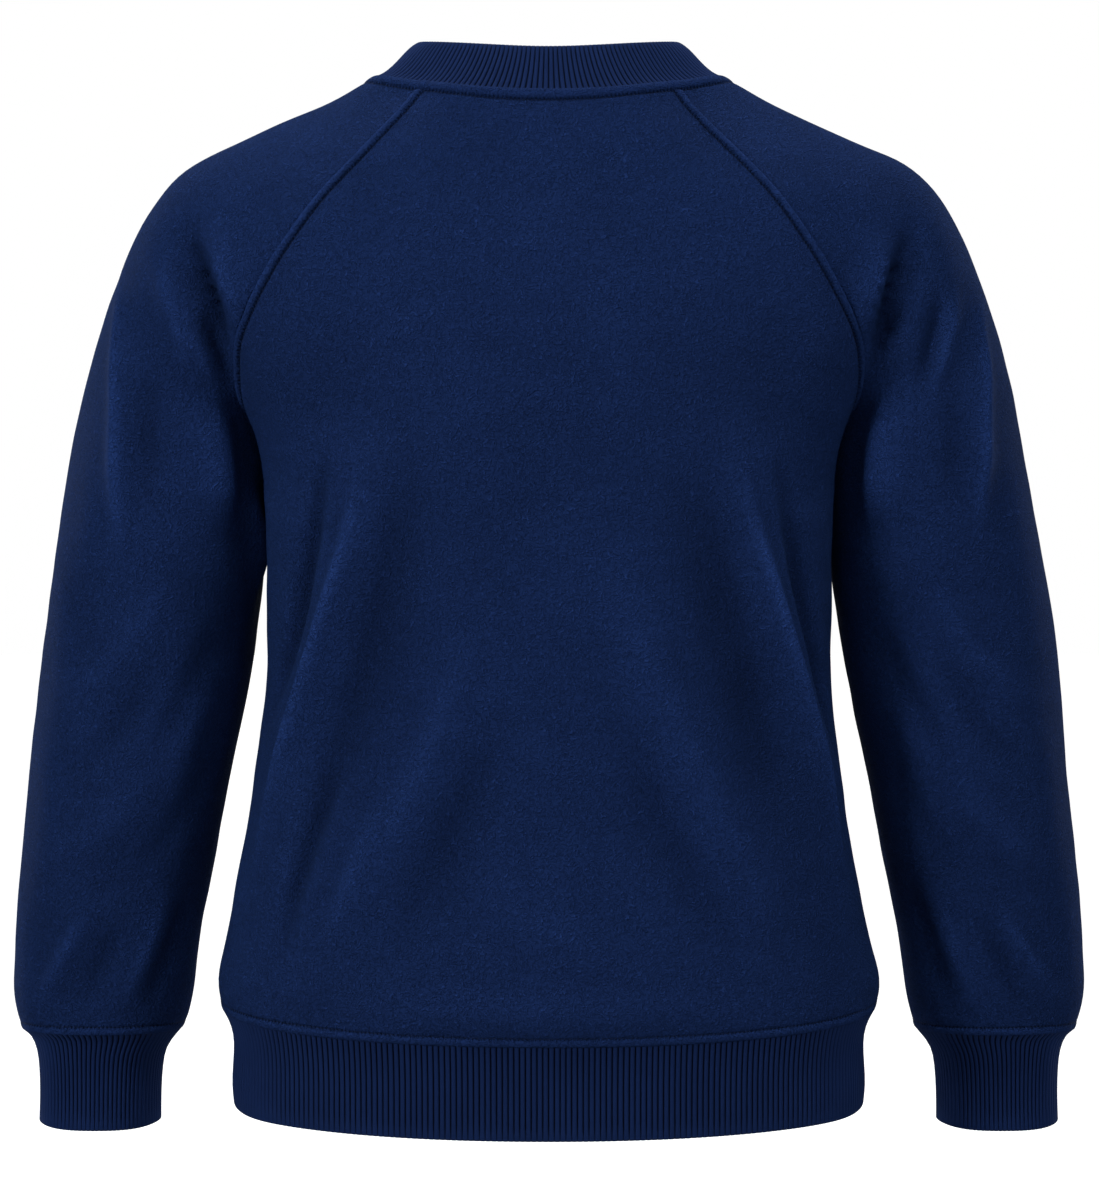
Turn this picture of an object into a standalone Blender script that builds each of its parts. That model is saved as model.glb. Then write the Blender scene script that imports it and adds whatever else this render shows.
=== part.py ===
"""Crewneck sweatshirt with raglan sleeves, hollow and filled out as when it is worn.

Frame: +Z up, the wearer faces -Y, +X is the wearer's left, and the origin is the
middle of the neck opening at the height of the neck's sides.  Tables are in
millimetres and the scene is in metres.

The cloth is worked out in rows.  A row of the body runs from the centre line to its
edge, which is the raglan seam down to the underarm and the side seam below that.
A row of a sleeve runs from the back raglan seam over the outer arm to the front
one, and below the underarm it goes round and closes.  Each stretch of a row is a
cubic arc between two named lines, leaving each of them with the heading, rise
and reach that its table gives.  A body row and a sleeve row that meet on a raglan
seam share the heading there, until the seam sinks into the fold behind the arm.
"""

import math

import bpy
import numpy as np

# ---------------------------------------------------------------- driving sizes
MM = 0.001
FLEECE = 2.0  # wall of the body and the sleeves
RIB = 3.0  # wall of the doubled rib pieces
SEAM_GAP = 0.3
UNDERARM_ROW = 1.0  # row number of the underarm point
HEM_ROW = 2.57  # row number of the hem seam
CUFF_ROW = 2.72  # row number of the cuff seams
SLOWS_AT = 0.70  # rows crowd together along the raglan seam from here to the underarm
QUICKENS_AT = 0.15  # and spread out again below it by this share of the way

YOKE_ROWS = 12
BODY_ROWS = 12
ARM_ROWS = 13
HALF_BODY_COLUMNS = 10
HALF_ARM_COLUMNS = 8

UP = np.array([0.0, 0.0, 1.0])

NAVY = (0.0048, 0.0128, 0.0497)
NAVY_RIB = (0.0042, 0.0108, 0.0420)

# -------------------------------------------------------- centre lines of the body
BACK_CENTRE = (
    ("row", "y", "z", "reach"),
    (0.00, 78.0, -16.5, 43.6),
    (0.12, 85.5, -40.0, 55.4),
    (0.25, 93.0, -71.0, 73.3),
    (0.45, 103.0, -121.0, 100.9),
    (0.65, 109.5, -170.0, 99.9),
    (0.85, 113.0, -215.5, 104.7),
    (1.00, 114.0, -250.0, 115.1),
    (1.30, 112.0, -325.0, 131.8),
    (1.60, 106.5, -400.0, 136.4),
    (1.90, 104.0, -475.0, 132.2),
    (2.20, 107.5, -551.0, 139.5),
    (2.42, 110.5, -606.0, 140.2),
    (2.57, 106.0, -642.3, 143.3),
)
FRONT_CENTRE = (
    ("row", "y", "z", "reach"),
    (0.00, 92.0, -76.0, 44.0),
    (0.12, 99.5, -93.0, 56.0),
    (0.25, 107.0, -115.0, 72.2),
    (0.45, 117.5, -152.0, 101.4),
    (0.65, 126.0, -188.0, 104.1),
    (0.85, 131.0, -225.0, 104.3),
    (1.00, 132.5, -254.0, 112.1),
    (1.30, 131.0, -325.0, 129.8),
    (1.60, 125.0, -400.0, 133.0),
    (1.90, 121.0, -475.0, 131.1),
    (2.20, 122.0, -550.0, 137.6),
    (2.42, 123.0, -604.0, 139.4),
    (2.57, 118.5, -639.0, 140.6),
)

# ------------------------------------- raglan seams, neck to underarm, one side
BACK_RAGLAN = (
    ("x", "y", "z"),
    (84.0, 52.0, -7.5),
    (102.5, 65.5, -34.5),
    (123.2, 76.0, -60.0),
    (154.7, 85.5, -94.0),
    (172.2, 86.0, -117.0),
    (189.0, 80.5, -146.0),
    (199.0, 66.0, -177.0),
    (200.5, 43.0, -206.0),
    (196.0, 13.0, -229.5),
    (190.0, -15.0, -240.0),
)
FRONT_RAGLAN = (
    ("x", "y", "z"),
    (82.0, 66.0, -39.0),
    (101.0, 78.0, -55.0),
    (122.0, 87.5, -75.0),
    (151.0, 95.5, -104.0),
    (168.0, 97.0, -125.0),
    (184.5, 94.0, -151.0),
    (195.0, 84.0, -180.0),
    (198.0, 67.0, -207.0),
    (195.5, 41.0, -230.0),
    (190.0, 15.0, -240.0),
)
# how a row of the body reaches its edge, and how a sleeve's row leaves it: heading in
# degrees from +X towards the middle of the depth, rise per mm, reach in mm
BODY_EDGE = (
    ("row", "heading", "rise", "reach"),
    (0.00, 36.0, 0.13, 27.0),
    (0.12, 31.0, 0.18, 27.0),
    (0.25, 26.0, 0.23, 26.0),
    (0.35, 26.0, 0.24, 27.0),
    (0.45, 32.0, 0.24, 34.0),
    (0.52, 40.5, 0.53, 48.6),
    (0.60, 54.9, 0.53, 57.3),
    (0.66, 67.4, 0.50, 62.6),
    (0.72, 77.8, 0.54, 70.0),
    (0.78, 85.7, 0.60, 78.4),
    (0.84, 92.6, 0.78, 87.0),
    (0.92, 99.2, 0.95, 97.1),
    (1.00, 100.1, 1.08, 101.9),
    (1.10, 100.6, 1.06, 101.3),
    (1.25, 98.6, 0.84, 99.5),
    (1.40, 93.6, 0.57, 98.1),
    (1.60, 90.0, 0.32, 94.7),
    (2.00, 90.0, 0.20, 84.7),
    (2.57, 90.0, 0.05, 82.2),
)
ARM_EDGE = (
    ("row", "heading", "rise", "reach"),
    (0.00, 36.0, 0.19, 28.0),
    (0.12, 31.0, 0.18, 34.0),
    (0.25, 26.0, 0.23, 40.0),
    (0.35, 25.0, 0.24, 45.0),
    (0.45, 21.0, 0.21, 51.0),
    (0.52, 10.5, 0.26, 52.3),
    (0.60, -8.6, 0.27, 56.0),
    (0.66, -24.2, 0.10, 61.4),
    (0.72, -39.6, -0.20, 68.1),
    (0.78, -53.7, -0.46, 77.5),
    (0.84, -62.6, -0.63, 87.3),
    (0.92, -68.8, -0.79, 98.2),
    (1.00, -71.0, -0.91, 104.0),
    (1.10, -73.0, -0.92, 107.0),
    (1.25, -78.5, -0.77, 106.0),
    (1.40, -85.0, -0.50, 103.9),
    (1.60, -90.0, -0.17, 103.0),
    (2.00, -90.0, -0.03, 96.5),
    (2.40, -90.0, 0.00, 84.0),
    (2.72, -90.0, 0.00, 63.8),
)

# --------------------------------- lines of a sleeve: outer arm, and inner arm
OUTER_ARM = (
    ("row", "x", "y", "z", "fall", "back", "front"),
    (0.00, 119.0, -2.0, 1.0, 0.06, 33.0, 36.0),
    (0.09, 144.0, -5.1, -12.4, 0.04, 39.5, 41.2),
    (0.20, 178.5, -7.9, -28.3, 0.02, 46.0, 47.6),
    (0.31, 212.5, -10.6, -42.0, 0.00, 52.2, 52.1),
    (0.39, 237.5, -13.1, -52.6, 0.00, 57.6, 57.7),
    (0.47, 258.5, -16.6, -67.5, 0.00, 59.9, 62.5),
    (0.555, 275.5, -21.1, -89.8, 0.00, 62.1, 63.4),
    (0.66, 290.5, -24.3, -121.5, 0.00, 69.7, 62.6),
    (0.80, 305.0, -21.3, -164.0, 0.00, 85.1, 74.5),
    (0.98, 319.0, -21.1, -214.0, 0.00, 89.2, 98.1),
    (1.10, 325.6, -26.0, -243.0, 0.00, 90.7, 102.2),
    (1.25, 332.7, -29.6, -280.0, 0.00, 97.9, 104.5),
    (1.42, 340.0, -31.5, -321.5, 0.00, 103.5, 105.8),
    (1.58, 346.0, -33.6, -361.5, 0.00, 101.5, 97.4),
    (1.74, 350.7, -35.7, -401.5, 0.00, 95.4, 94.1),
    (1.90, 355.0, -38.2, -441.5, 0.00, 91.6, 91.1),
    (2.08, 360.3, -41.6, -486.0, 0.00, 87.4, 86.8),
    (2.24, 365.0, -45.1, -526.0, 0.00, 82.8, 82.2),
    (2.40, 368.5, -48.8, -567.0, 0.00, 78.0, 76.2),
    (2.56, 371.2, -51.5, -608.0, 0.00, 71.2, 69.2),
    (2.65, 370.6, -51.9, -632.0, 0.00, 62.8, 64.3),
    (2.72, 365.4, -52.4, -649.7, 0.00, 56.3, 60.1),
)
INNER_ARM = (
    ("x", "y", "z"),
    (190.3, -15.0, -240.0),
    (191.2, -17.5, -254.0),
    (192.4, -21.5, -280.0),
    (193.9, -26.0, -312.0),
    (196.0, -31.0, -339.0),
    (199.4, -32.5, -359.0),
    (203.0, -34.0, -380.0),
    (210.4, -36.0, -421.0),
    (218.6, -39.0, -463.0),
    (226.3, -42.0, -505.0),
    (234.8, -46.0, -547.0),
    (243.5, -50.0, -589.0),
    (250.6, -53.5, -633.0),
    (255.5, -54.5, -649.7),
)
SIDE_SEAM = (
    ("x", "y", "z"),
    (190.0, -15.0, -240.0),
    (189.4, -15.0, -254.0),
    (189.6, -15.0, -280.0),
    (190.8, -14.5, -310.0),
    (192.0, -14.0, -335.0),
    (191.4, -12.0, -379.0),
    (192.5, -10.0, -421.0),
    (197.5, -8.5, -463.0),
    (203.5, -7.5, -504.0),
    (212.0, -6.5, -545.0),
    (219.6, -6.0, -586.0),
    (224.2, -6.0, -612.0),
    (221.8, -6.0, -628.0),
)

# ---------------------------------------------------------------------- rib pieces
# the neckband's folded edge, by the share of the half neck seam that it stands over,
# from the back centre to the front one, and how far the band flares there
NECK_EDGE = (
    ("share", "x", "y", "z", "flare"),
    (0.000, 0.0, 60.0, 14.6, 0.0),
    (0.135, 35.0, 53.5, 16.9, 0.1),
    (0.262, 65.5, 38.5, 20.9, 0.5),
    (0.360, 82.8, 17.5, 24.9, 0.9),
    (0.460, 89.4, -7.0, 27.0, 1.0),
    (0.580, 85.6, -32.0, 17.5, 0.8),
    (0.720, 65.5, -57.5, -9.5, 0.4),
    (0.860, 35.5, -73.0, -33.0, 0.1),
    (1.000, 0.0, -78.0, -42.0, 0.0),
)
# hem band: how far its section stands in from the hem seam, and its height below it
HEM_SECTION = (
    ("step", "side_in", "back_in", "side_down", "back_down"),
    (0.00, 0.0, 0.0, 0.0, 0.0),
    (0.12, 4.2, 3.4, 8.0, 7.0),
    (0.45, 7.6, 5.0, 30.0, 28.0),
    (0.80, 6.6, 4.0, 54.0, 50.0),
    (1.00, 7.8, 4.6, 67.5, 62.2),
)
CUFF_SECTION = (
    ("row", "x_in", "x_out", "z", "y", "half_depth"),
    (0.00, 255.5, 365.4, -649.9, -54.5, 42.0),
    (0.10, 259.6, 360.4, -655.0, -54.8, 38.5),
    (0.22, 264.8, 357.0, -662.5, -55.0, 36.0),
    (0.40, 268.4, 355.0, -674.0, -55.2, 34.4),
    (0.70, 270.2, 354.2, -697.0, -55.6, 33.8),
    (1.00, 270.4, 354.8, -719.5, -56.0, 34.0),
)


# ------------------------------------------------------------------ working tools
def columns(table):
    names, *rows = table
    return dict(zip(names, np.array(rows, float).T))


def spline(knots, values, slope_end=None, slope_start=None):
    """A cubic spline through the values, as a function; natural at an end with no slope."""
    knots, values = np.asarray(knots, float), np.asarray(values, float)
    n, h = len(knots), np.diff(knots)
    rise = np.diff(values) / h
    matrix, right = np.zeros((n, n)), np.zeros(n)
    matrix[0, 0] = matrix[-1, -1] = 1.0
    if slope_start is not None:
        matrix[0, :2] = 2 * h[0], h[0]
        right[0] = 6 * (rise[0] - slope_start)
    if slope_end is not None:
        matrix[-1, -2:] = h[-1], 2 * h[-1]
        right[-1] = 6 * (slope_end - rise[-1])
    for i in range(1, n - 1):
        matrix[i, i - 1 : i + 2] = h[i - 1], 2 * (h[i - 1] + h[i]), h[i]
        right[i] = 6 * (rise[i] - rise[i - 1])
    bend = np.linalg.solve(matrix, right)

    def at(x):
        x = np.asarray(x, float)
        i = np.clip(np.searchsorted(knots, x) - 1, 0, n - 2)
        a, b = knots[i + 1] - x, x - knots[i]
        return (
            (bend[i] * a**3 + bend[i + 1] * b**3) / (6 * h[i])
            + (values[i] / h[i] - bend[i] * h[i] / 6) * a
            + (values[i + 1] / h[i] - bend[i + 1] * h[i] / 6) * b
        )

    return at


def by_row(table):
    """The table's columns as splines over its row numbers."""
    c = columns(table)
    return {name: spline(c["row"], c[name]) for name in c if name != "row"}


def by_length(table, mirror_y=1.0):
    """A line through the table's points, as a function of the share of its length."""
    c = columns(table)
    points = np.stack([c["x"], mirror_y * c["y"], c["z"]], 1)
    run = np.concatenate([[0], np.cumsum(np.linalg.norm(np.diff(points, axis=0), axis=1))])
    run /= run[-1]
    x, y, z = (spline(run, points[:, k]) for k in range(3))
    return lambda s: np.stack([x(s), y(s), z(s)], -1)


def slowing(p, start):
    """0 to 1 at an even pace up to start, and then slowing to rest at 1."""
    return np.where(p < start, 2 * p / (1 + start), 1 - (1 - p) ** 2 / (1 - start**2))


def heading(degrees, rise, side):
    """Unit of plan length along a row: towards +X, and towards -Y on the back (side 1)."""
    a = np.radians(degrees)
    return np.stack([np.cos(a), -side * np.sin(a), rise], -1)


def mirrored(points):
    return points * np.array([-1.0, 1.0, 1.0])


def arc(p0, p1, p2, p3, share):
    """Points at these shares of the arc's length on the cubic arcs p0 p1 p2 p3 (rows x 3)."""
    t = np.linspace(0, 1, 97)

    def points(t):
        t = t[..., None]
        s = 1 - t
        return (
            s**3 * p0[:, None] + 3 * s * s * t * p1[:, None]
            + 3 * s * t * t * p2[:, None] + t**3 * p3[:, None]
        )

    dense = points(np.broadcast_to(t, (len(p0), len(t))))
    run = np.cumsum(np.linalg.norm(np.diff(dense, axis=1), axis=2), axis=1)
    run = np.concatenate([np.zeros((len(p0), 1)), run], 1)
    share = np.broadcast_to(share, (len(p0), np.shape(share)[-1]))
    at = np.stack([np.interp(share[i] * run[i, -1], run[i], t) for i in range(len(p0))])
    return points(at)


# ------------------------------------------------------------------ the garment's form
CENTRE = {1: by_row(BACK_CENTRE), -1: by_row(FRONT_CENTRE)}
RAGLAN = {1: by_length(BACK_RAGLAN), -1: by_length(FRONT_RAGLAN, -1.0)}
SIDE = by_length(SIDE_SEAM)
INNER = by_length(INNER_ARM)
OUTER = by_row(OUTER_ARM)
EDGE = by_row(BODY_EDGE)
LEAVES = by_row(ARM_EDGE)


def raglan_at(row, side):
    return RAGLAN[side](slowing(np.clip(row, 0, 1), SLOWS_AT))


def below_underarm(line, row, last):
    q = np.clip((row - UNDERARM_ROW) / (last - UNDERARM_ROW), 0, 1)
    return line(1 - slowing(1 - q, 1 - QUICKENS_AT))


def body_surface(row, share, side):
    """Points of the body, rows x shares, on the +X half: side 1 is the back, -1 the front."""
    row = np.asarray(row, float)[:, None] * np.ones(1)
    row = row[:, 0]
    edge = np.where(
        (row <= UNDERARM_ROW)[:, None],
        raglan_at(row, side),
        below_underarm(SIDE, row, HEM_ROW),
    )
    c = CENTRE[side]
    centre = np.stack([0 * row, side * c["y"](row), c["z"](row)], -1)
    out = centre + c["reach"](row)[:, None] * np.array([1.0, 0, 0])
    way = heading(EDGE["heading"](row), EDGE["rise"](row), side)
    back = edge - EDGE["reach"](row)[:, None] * way
    return arc(centre, out, back, edge, share)


def arm_surface(row, share):
    """Points of the +X sleeve: share 0 is its back edge, 0.5 the outer arm, 1 its front edge."""
    row, share = np.asarray(row, float), np.asarray(share, float)
    o = OUTER
    outer = np.stack([o["x"](row), o["y"](row), o["z"](row)], -1)
    over = np.stack([0 * row, -1 + 0 * row, -o["fall"](row)], -1)
    halves = []
    for side, reach in ((1, o["back"](row)), (-1, o["front"](row))):
        clear = np.clip((row - 0.6) / 0.4, 0, 1)[:, None] ** 2 * np.array([SEAM_GAP, 0, 0])
        edge = np.where(
            (row <= UNDERARM_ROW)[:, None],
            raglan_at(row, side) + clear,
            below_underarm(INNER, row, CUFF_ROW),
        )
        way = heading(LEAVES["heading"](row), LEAVES["rise"](row), side)
        first = edge + LEAVES["reach"](row)[:, None] * way
        last = outer - side * reach[:, None] * over
        halves.append((edge, first, last, outer))
    back = arc(*halves[0], np.clip(2 * share, 0, 1))
    front = arc(*halves[1][::-1], np.clip(2 * share - 1, 0, 1))
    return np.where((share < 0.5)[None, :, None], back, front)


# ------------------------------------------------------------------------ mesh making
def wall(name, outer, inner, number):
    """A closed wall between two grids of points, rows x columns.

    number gives each place of the grid its vertex, so that a column can close on
    the first one, all the way or from some row down.  An edge of one face only is
    an edge of the cloth, and gets its rim.
    """
    corners = [number[:-1, :-1], number[1:, :-1], number[1:, 1:], number[:-1, 1:]]
    quads = np.stack(corners, -1).reshape(-1, 4)
    points = outer.reshape(-1, 3)
    short = np.linalg.norm(points[quads[:, 0]] - points[quads[:, 2]], axis=1) <= np.linalg.norm(
        points[quads[:, 1]] - points[quads[:, 3]], axis=1
    )
    skin = np.where(
        short[:, None], quads[:, [0, 1, 2, 0, 2, 3]], quads[:, [0, 1, 3, 1, 2, 3]]
    ).reshape(-1, 3)
    edges = np.concatenate([skin[:, [0, 1]], skin[:, [1, 2]], skin[:, [2, 0]]])
    twice = {(int(b), int(a)) for a, b in edges}
    rim = np.array([e for e in edges if (int(e[0]), int(e[1])) not in twice])
    count = len(points)
    band = np.concatenate([
        np.stack([rim[:, 1], rim[:, 0], rim[:, 0] + count], 1),
        np.stack([rim[:, 1], rim[:, 0] + count, rim[:, 1] + count], 1),
    ])
    faces = np.concatenate([skin, skin[:, ::-1] + count, band])
    verts = np.concatenate([points, inner.reshape(-1, 3)]) * MM
    if np.linalg.det(verts[faces]).sum() < 0:
        faces = faces[:, ::-1]
    used, faces = np.unique(faces, return_inverse=True)
    mesh = bpy.data.meshes.new(name)
    mesh.from_pydata(verts[used].tolist(), [], faces.reshape(-1, 3).tolist())
    mesh.shade_smooth()
    mesh.set_sharp_from_angle(angle=math.radians(50))
    obj = bpy.data.objects.new(name, mesh)
    garment.objects.link(obj)
    return obj


def grid_numbers(outer, closed_from=None):
    """Vertex numbers of a grid, whose last column is its first one from this row down."""
    number = np.arange(outer.shape[0] * outer.shape[1]).reshape(outer.shape[:2])
    if closed_from is not None:
        number[closed_from:, -1] = number[closed_from:, 0]
    return number


def finish(obj, colour, roughness, sheen):
    material = bpy.data.materials.new(obj.name)
    material.use_nodes = True
    shader = material.node_tree.nodes["Principled BSDF"]
    shader.inputs["Base Color"].default_value = (*colour, 1)
    shader.inputs["Roughness"].default_value = roughness
    shader.inputs["Metallic"].default_value = 0.0
    shader.inputs["Sheen Weight"].default_value = sheen
    obj.data.materials.append(material)



# ---------------------------------------------------------------------- the pieces
def row_numbers(first, last, count_yoke, count_below, surface, shares):
    """Row numbers from the neck seam down, the end ones kept half a seam gap from the ribs."""
    rows = np.concatenate([
        np.linspace(first, UNDERARM_ROW, count_yoke),
        np.linspace(UNDERARM_ROW, last, count_below + 1)[1:],
    ])
    for i, j in ((0, 1), (-1, -2)):
        ends = surface(rows[[i, j]], shares)
        length = np.linalg.norm(ends[1] - ends[0], axis=1).mean()
        rows[i] += (rows[j] - rows[i]) * 0.5 * SEAM_GAP / length
    return rows


def share_table(surface, rows, shares, ends):
    """The shares for each row, the named ends kept half a seam gap from the seams."""
    length = np.linalg.norm(np.diff(surface(rows, shares), axis=1), axis=2).sum(1)
    table = np.repeat(shares[None], len(rows), 0)
    for end in ends:
        table[:, end] -= (1 if end else -1) * 0.5 * SEAM_GAP / length
    return table


def square_to(surface, rows, table, out, step=1e-4):
    """Points of a surface, and their unit normals out of the cloth."""

    def at(shift_row, shift_share):
        r = np.clip(rows + shift_row, 0, rows[-1])
        return np.concatenate([
            surface(r[[i]], np.clip(table[i] + shift_share, 0, 1)) for i in range(len(rows))
        ])

    normal = out * np.cross(at(0, step) - at(0, -step), at(step, 0) - at(-step, 0))
    return at(0, 0), normal / np.linalg.norm(normal, axis=2, keepdims=True)


def body_panel(name, side):
    def surface(rows, shares):
        return body_surface(rows, shares, side)

    shares = np.linspace(0, 1, HALF_BODY_COLUMNS + 1)
    rows = row_numbers(0.0, HEM_ROW, YOKE_ROWS, BODY_ROWS, surface, shares)
    table = share_table(surface, rows, shares, (-1,))
    outer, normal = square_to(surface, rows, table, side)
    halves = outer, outer - FLEECE * normal
    outer, inner = (np.concatenate([mirrored(h[:, :0:-1]), h], 1) for h in halves)
    return wall(name, outer, inner, grid_numbers(outer))


def sleeve(name, mirror):
    shares = np.linspace(0, 1, 2 * HALF_ARM_COLUMNS + 1)
    rows = row_numbers(0.0, CUFF_ROW, YOKE_ROWS, ARM_ROWS, arm_surface, shares)
    table = share_table(arm_surface, rows, shares, (0, -1))
    outer, normal = square_to(arm_surface, rows, table, 1.0)
    grids = outer, outer - FLEECE * normal
    closes = YOKE_ROWS - 1
    for g in grids:
        g[closes:, 0] = 0.5 * (g[closes:, 0] + g[closes:, -1])
    outer, inner = (mirrored(g) for g in grids) if mirror else grids
    return wall(name, outer, inner, grid_numbers(outer, closes))


def seam_line(surface, row, shares, out=1.0):
    """Points along one row with their normals, as rows of six."""
    spare = np.array([row, row + 1e-3]) if row == 0 else np.array([row - 1e-3, row])
    points, normal = square_to(surface, spare, np.repeat(shares[None], 2, 0), out)
    at = 0 if row == 0 else 1
    return np.concatenate([points[at], normal[at]], 1)


def whole_ring(half):
    """A closed ring from its +X half, which runs from the back centre to the front centre."""
    other = half[-2:0:-1] * np.array([-1, 1, 1, -1, 1, 1])
    return np.concatenate([half, other])


def body_line(row, side):
    shares = np.linspace(0, 1, HALF_BODY_COLUMNS + 1)
    return seam_line(lambda r, s: body_surface(r, s, side), row, shares, side)


def arm_line(row):
    return seam_line(arm_surface, row, np.linspace(0, 1, 2 * HALF_ARM_COLUMNS + 1))


def plan_frame(ring):
    """Plan directions out of a closed ring, and how much each point is at a side."""
    along = np.roll(ring, -1, 0) - np.roll(ring, 1, 0)
    out = np.stack([-along[:, 1], along[:, 0], 0 * along[:, 0]], 1)
    out /= np.linalg.norm(out, axis=1, keepdims=True)
    out *= np.sign((out * (ring - ring.mean(0))).sum(1))[:, None]
    return out, out[:, 0] ** 2


def section_at(table, steps, key):
    c = columns(table)
    return {k: spline(c[key], c[k])(steps) for k in c if k != key}


def half_shares(ring):
    """How far round each point of a half ring stands, as a share of its length."""
    run = np.concatenate([[0], np.cumsum(np.linalg.norm(np.diff(ring, axis=0), axis=1))])
    return run / run[-1]


def collar_surface(seam, steps):
    """The neckband from its half seam up to its folded edge, steps x points."""
    c, share = columns(NECK_EDGE), half_shares(seam)
    # y and z are level where they cross the centre line, and x isn't
    y, z = (spline(c["share"], c[k], 0.0, 0.0)(share) for k in "yz")
    flare = spline(c["share"], c["flare"], 0.0, 0.0)(share)[:, None]
    edge = np.stack([spline(c["share"], c["x"])(share), y, z], 1)
    level = (edge - seam) * (1 - UP)
    rise = (edge - seam) * UP
    first = seam + (0.33 + 0.12 * flare) * level + (0.29 - 0.10 * flare) * rise
    last = edge - (0.20 + 0.14 * flare) * level - 0.17 * rise
    return np.swapaxes(arc(seam, first, last, edge, steps), 0, 1)


def collar_band():
    half = np.concatenate([body_line(0.0, 1), arm_line(0.0)[1:-1], body_line(0.0, -1)[::-1]])
    rows = collar_surface(half[:, :3], np.array([0.0, 0.32, 0.68, 1.0]))
    rows = np.concatenate([rows, mirrored(rows[:, -2:0:-1])], 1)
    return rib_wall("collar_rib", rows, whole_ring(half)[:, 3:])


def hem_band():
    ring = whole_ring(np.concatenate([body_line(HEM_ROW, 1), body_line(HEM_ROW, -1)[-2::-1]]))
    out, side = plan_frame(ring[:, :3])
    steps = np.array([0.0, 0.12, 0.40, 0.72, 1.0])
    s = section_at(HEM_SECTION, steps, "step")
    rows = []
    for k in range(len(steps)):
        inwards, down = (side * s["side_" + way][k] + (1 - side) * s["back_" + way][k] for way in ("in", "down"))
        rows.append(ring[:, :3] - inwards[:, None] * out - down[:, None] * UP)
    return rib_wall("hem_rib", np.array(rows), ring[:, 3:])


def cuff_band(name, mirror):
    ring = arm_line(CUFF_ROW)[:-1]
    top = ring[:, :3]
    steps = np.array([0.0, 0.10, 0.24, 0.60, 1.0])
    s = section_at(CUFF_SECTION, steps, "row")
    low, high = top.min(0), top.max(0)
    unit = (top - (low + high) / 2) / ((high - low) / 2)
    rows = []
    for k in range(len(steps)):
        x = (s["x_in"][k] + s["x_out"][k]) / 2 + unit[:, 0] * (s["x_out"][k] - s["x_in"][k]) / 2
        y = s["y"][k] + unit[:, 1] * s["half_depth"][k]
        z = s["z"][k] + (top[:, 2] - top[:, 2].mean()) * (1 - steps[k])
        rows.append(np.stack([x, y, z], 1))
    rows[0] = top
    rows, normals = np.array(rows), ring[:, 3:]
    if mirror:
        rows, normals = mirrored(rows), mirrored(normals)
    return rib_wall(name, rows, normals)


def rib_wall(name, rings, seam_normals):
    """A band's wall inside its rings, the first of which follows a seam half a gap away."""
    way = rings[1] - rings[0]
    rings[0] += 0.5 * SEAM_GAP * way / np.linalg.norm(way, axis=1, keepdims=True)
    along = np.roll(rings, -1, 1) - np.roll(rings, 1, 1)
    normal = np.cross(along, np.gradient(rings, axis=0))
    normal /= np.linalg.norm(normal, axis=2, keepdims=True)
    normal *= np.sign((normal[0] * seam_normals).sum())
    normal[0] = seam_normals
    inner = rings - RIB * normal
    outer, inner = (np.concatenate([g, g[:, :1]], 1) for g in (rings, inner))
    return wall(name, outer, inner, grid_numbers(outer, 0))


# --------------------------------------------------------------------------- assembly
for old in list(bpy.data.objects):
    bpy.data.objects.remove(old)

garment = bpy.data.collections.new("crewneck_sweatshirt")
bpy.context.scene.collection.children.link(garment)

FLEECE_FINISH = (NAVY, 0.92, 0.35)
RIB_FINISH = (NAVY_RIB, 0.94, 0.20)

for piece, look in (
    (body_panel("back_panel", 1), FLEECE_FINISH),
    (body_panel("front_panel", -1), FLEECE_FINISH),
    (sleeve("sleeve_left", False), FLEECE_FINISH),
    (sleeve("sleeve_right", True), FLEECE_FINISH),
    (collar_band(), RIB_FINISH),
    (hem_band(), RIB_FINISH),
    (cuff_band("cuff_left", False), RIB_FINISH),
    (cuff_band("cuff_right", True), RIB_FINISH),
):
    finish(piece, *look)
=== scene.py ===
"""Looks of the crewneck sweatshirt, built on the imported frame.

The form is worked out from the same tables as the CAD part: rows of the cloth run
between named lines, in millimetres.  Each panel is then made again as a fine shell,
with its seam ridges, stitch grooves and folds, and each rib piece as a doubled band
whose ribs are modelled one by one.
"""

import math

import bpy
import numpy as np
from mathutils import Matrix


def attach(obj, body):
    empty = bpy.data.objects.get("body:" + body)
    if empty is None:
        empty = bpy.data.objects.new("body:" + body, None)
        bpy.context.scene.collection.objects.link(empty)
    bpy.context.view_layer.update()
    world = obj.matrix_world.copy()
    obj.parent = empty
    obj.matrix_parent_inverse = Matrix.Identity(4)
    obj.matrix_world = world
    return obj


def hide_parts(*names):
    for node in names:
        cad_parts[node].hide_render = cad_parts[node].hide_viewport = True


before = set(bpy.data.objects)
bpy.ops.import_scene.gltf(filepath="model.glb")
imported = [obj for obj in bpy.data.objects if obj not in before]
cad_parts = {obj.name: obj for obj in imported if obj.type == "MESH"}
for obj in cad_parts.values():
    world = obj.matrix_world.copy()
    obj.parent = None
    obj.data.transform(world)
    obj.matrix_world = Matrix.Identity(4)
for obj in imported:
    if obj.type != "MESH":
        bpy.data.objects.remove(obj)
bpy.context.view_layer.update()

# ---------------------------------------------------------------- driving sizes
MM = 0.001
FLEECE = 2.0  # wall of the body and the sleeves
RIB = 3.0  # wall of the doubled rib pieces
SEAM_GAP = 0.3
UNDERARM_ROW = 1.0
HEM_ROW = 2.57
CUFF_ROW = 2.72
SLOWS_AT = 0.70
QUICKENS_AT = 0.15

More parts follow.
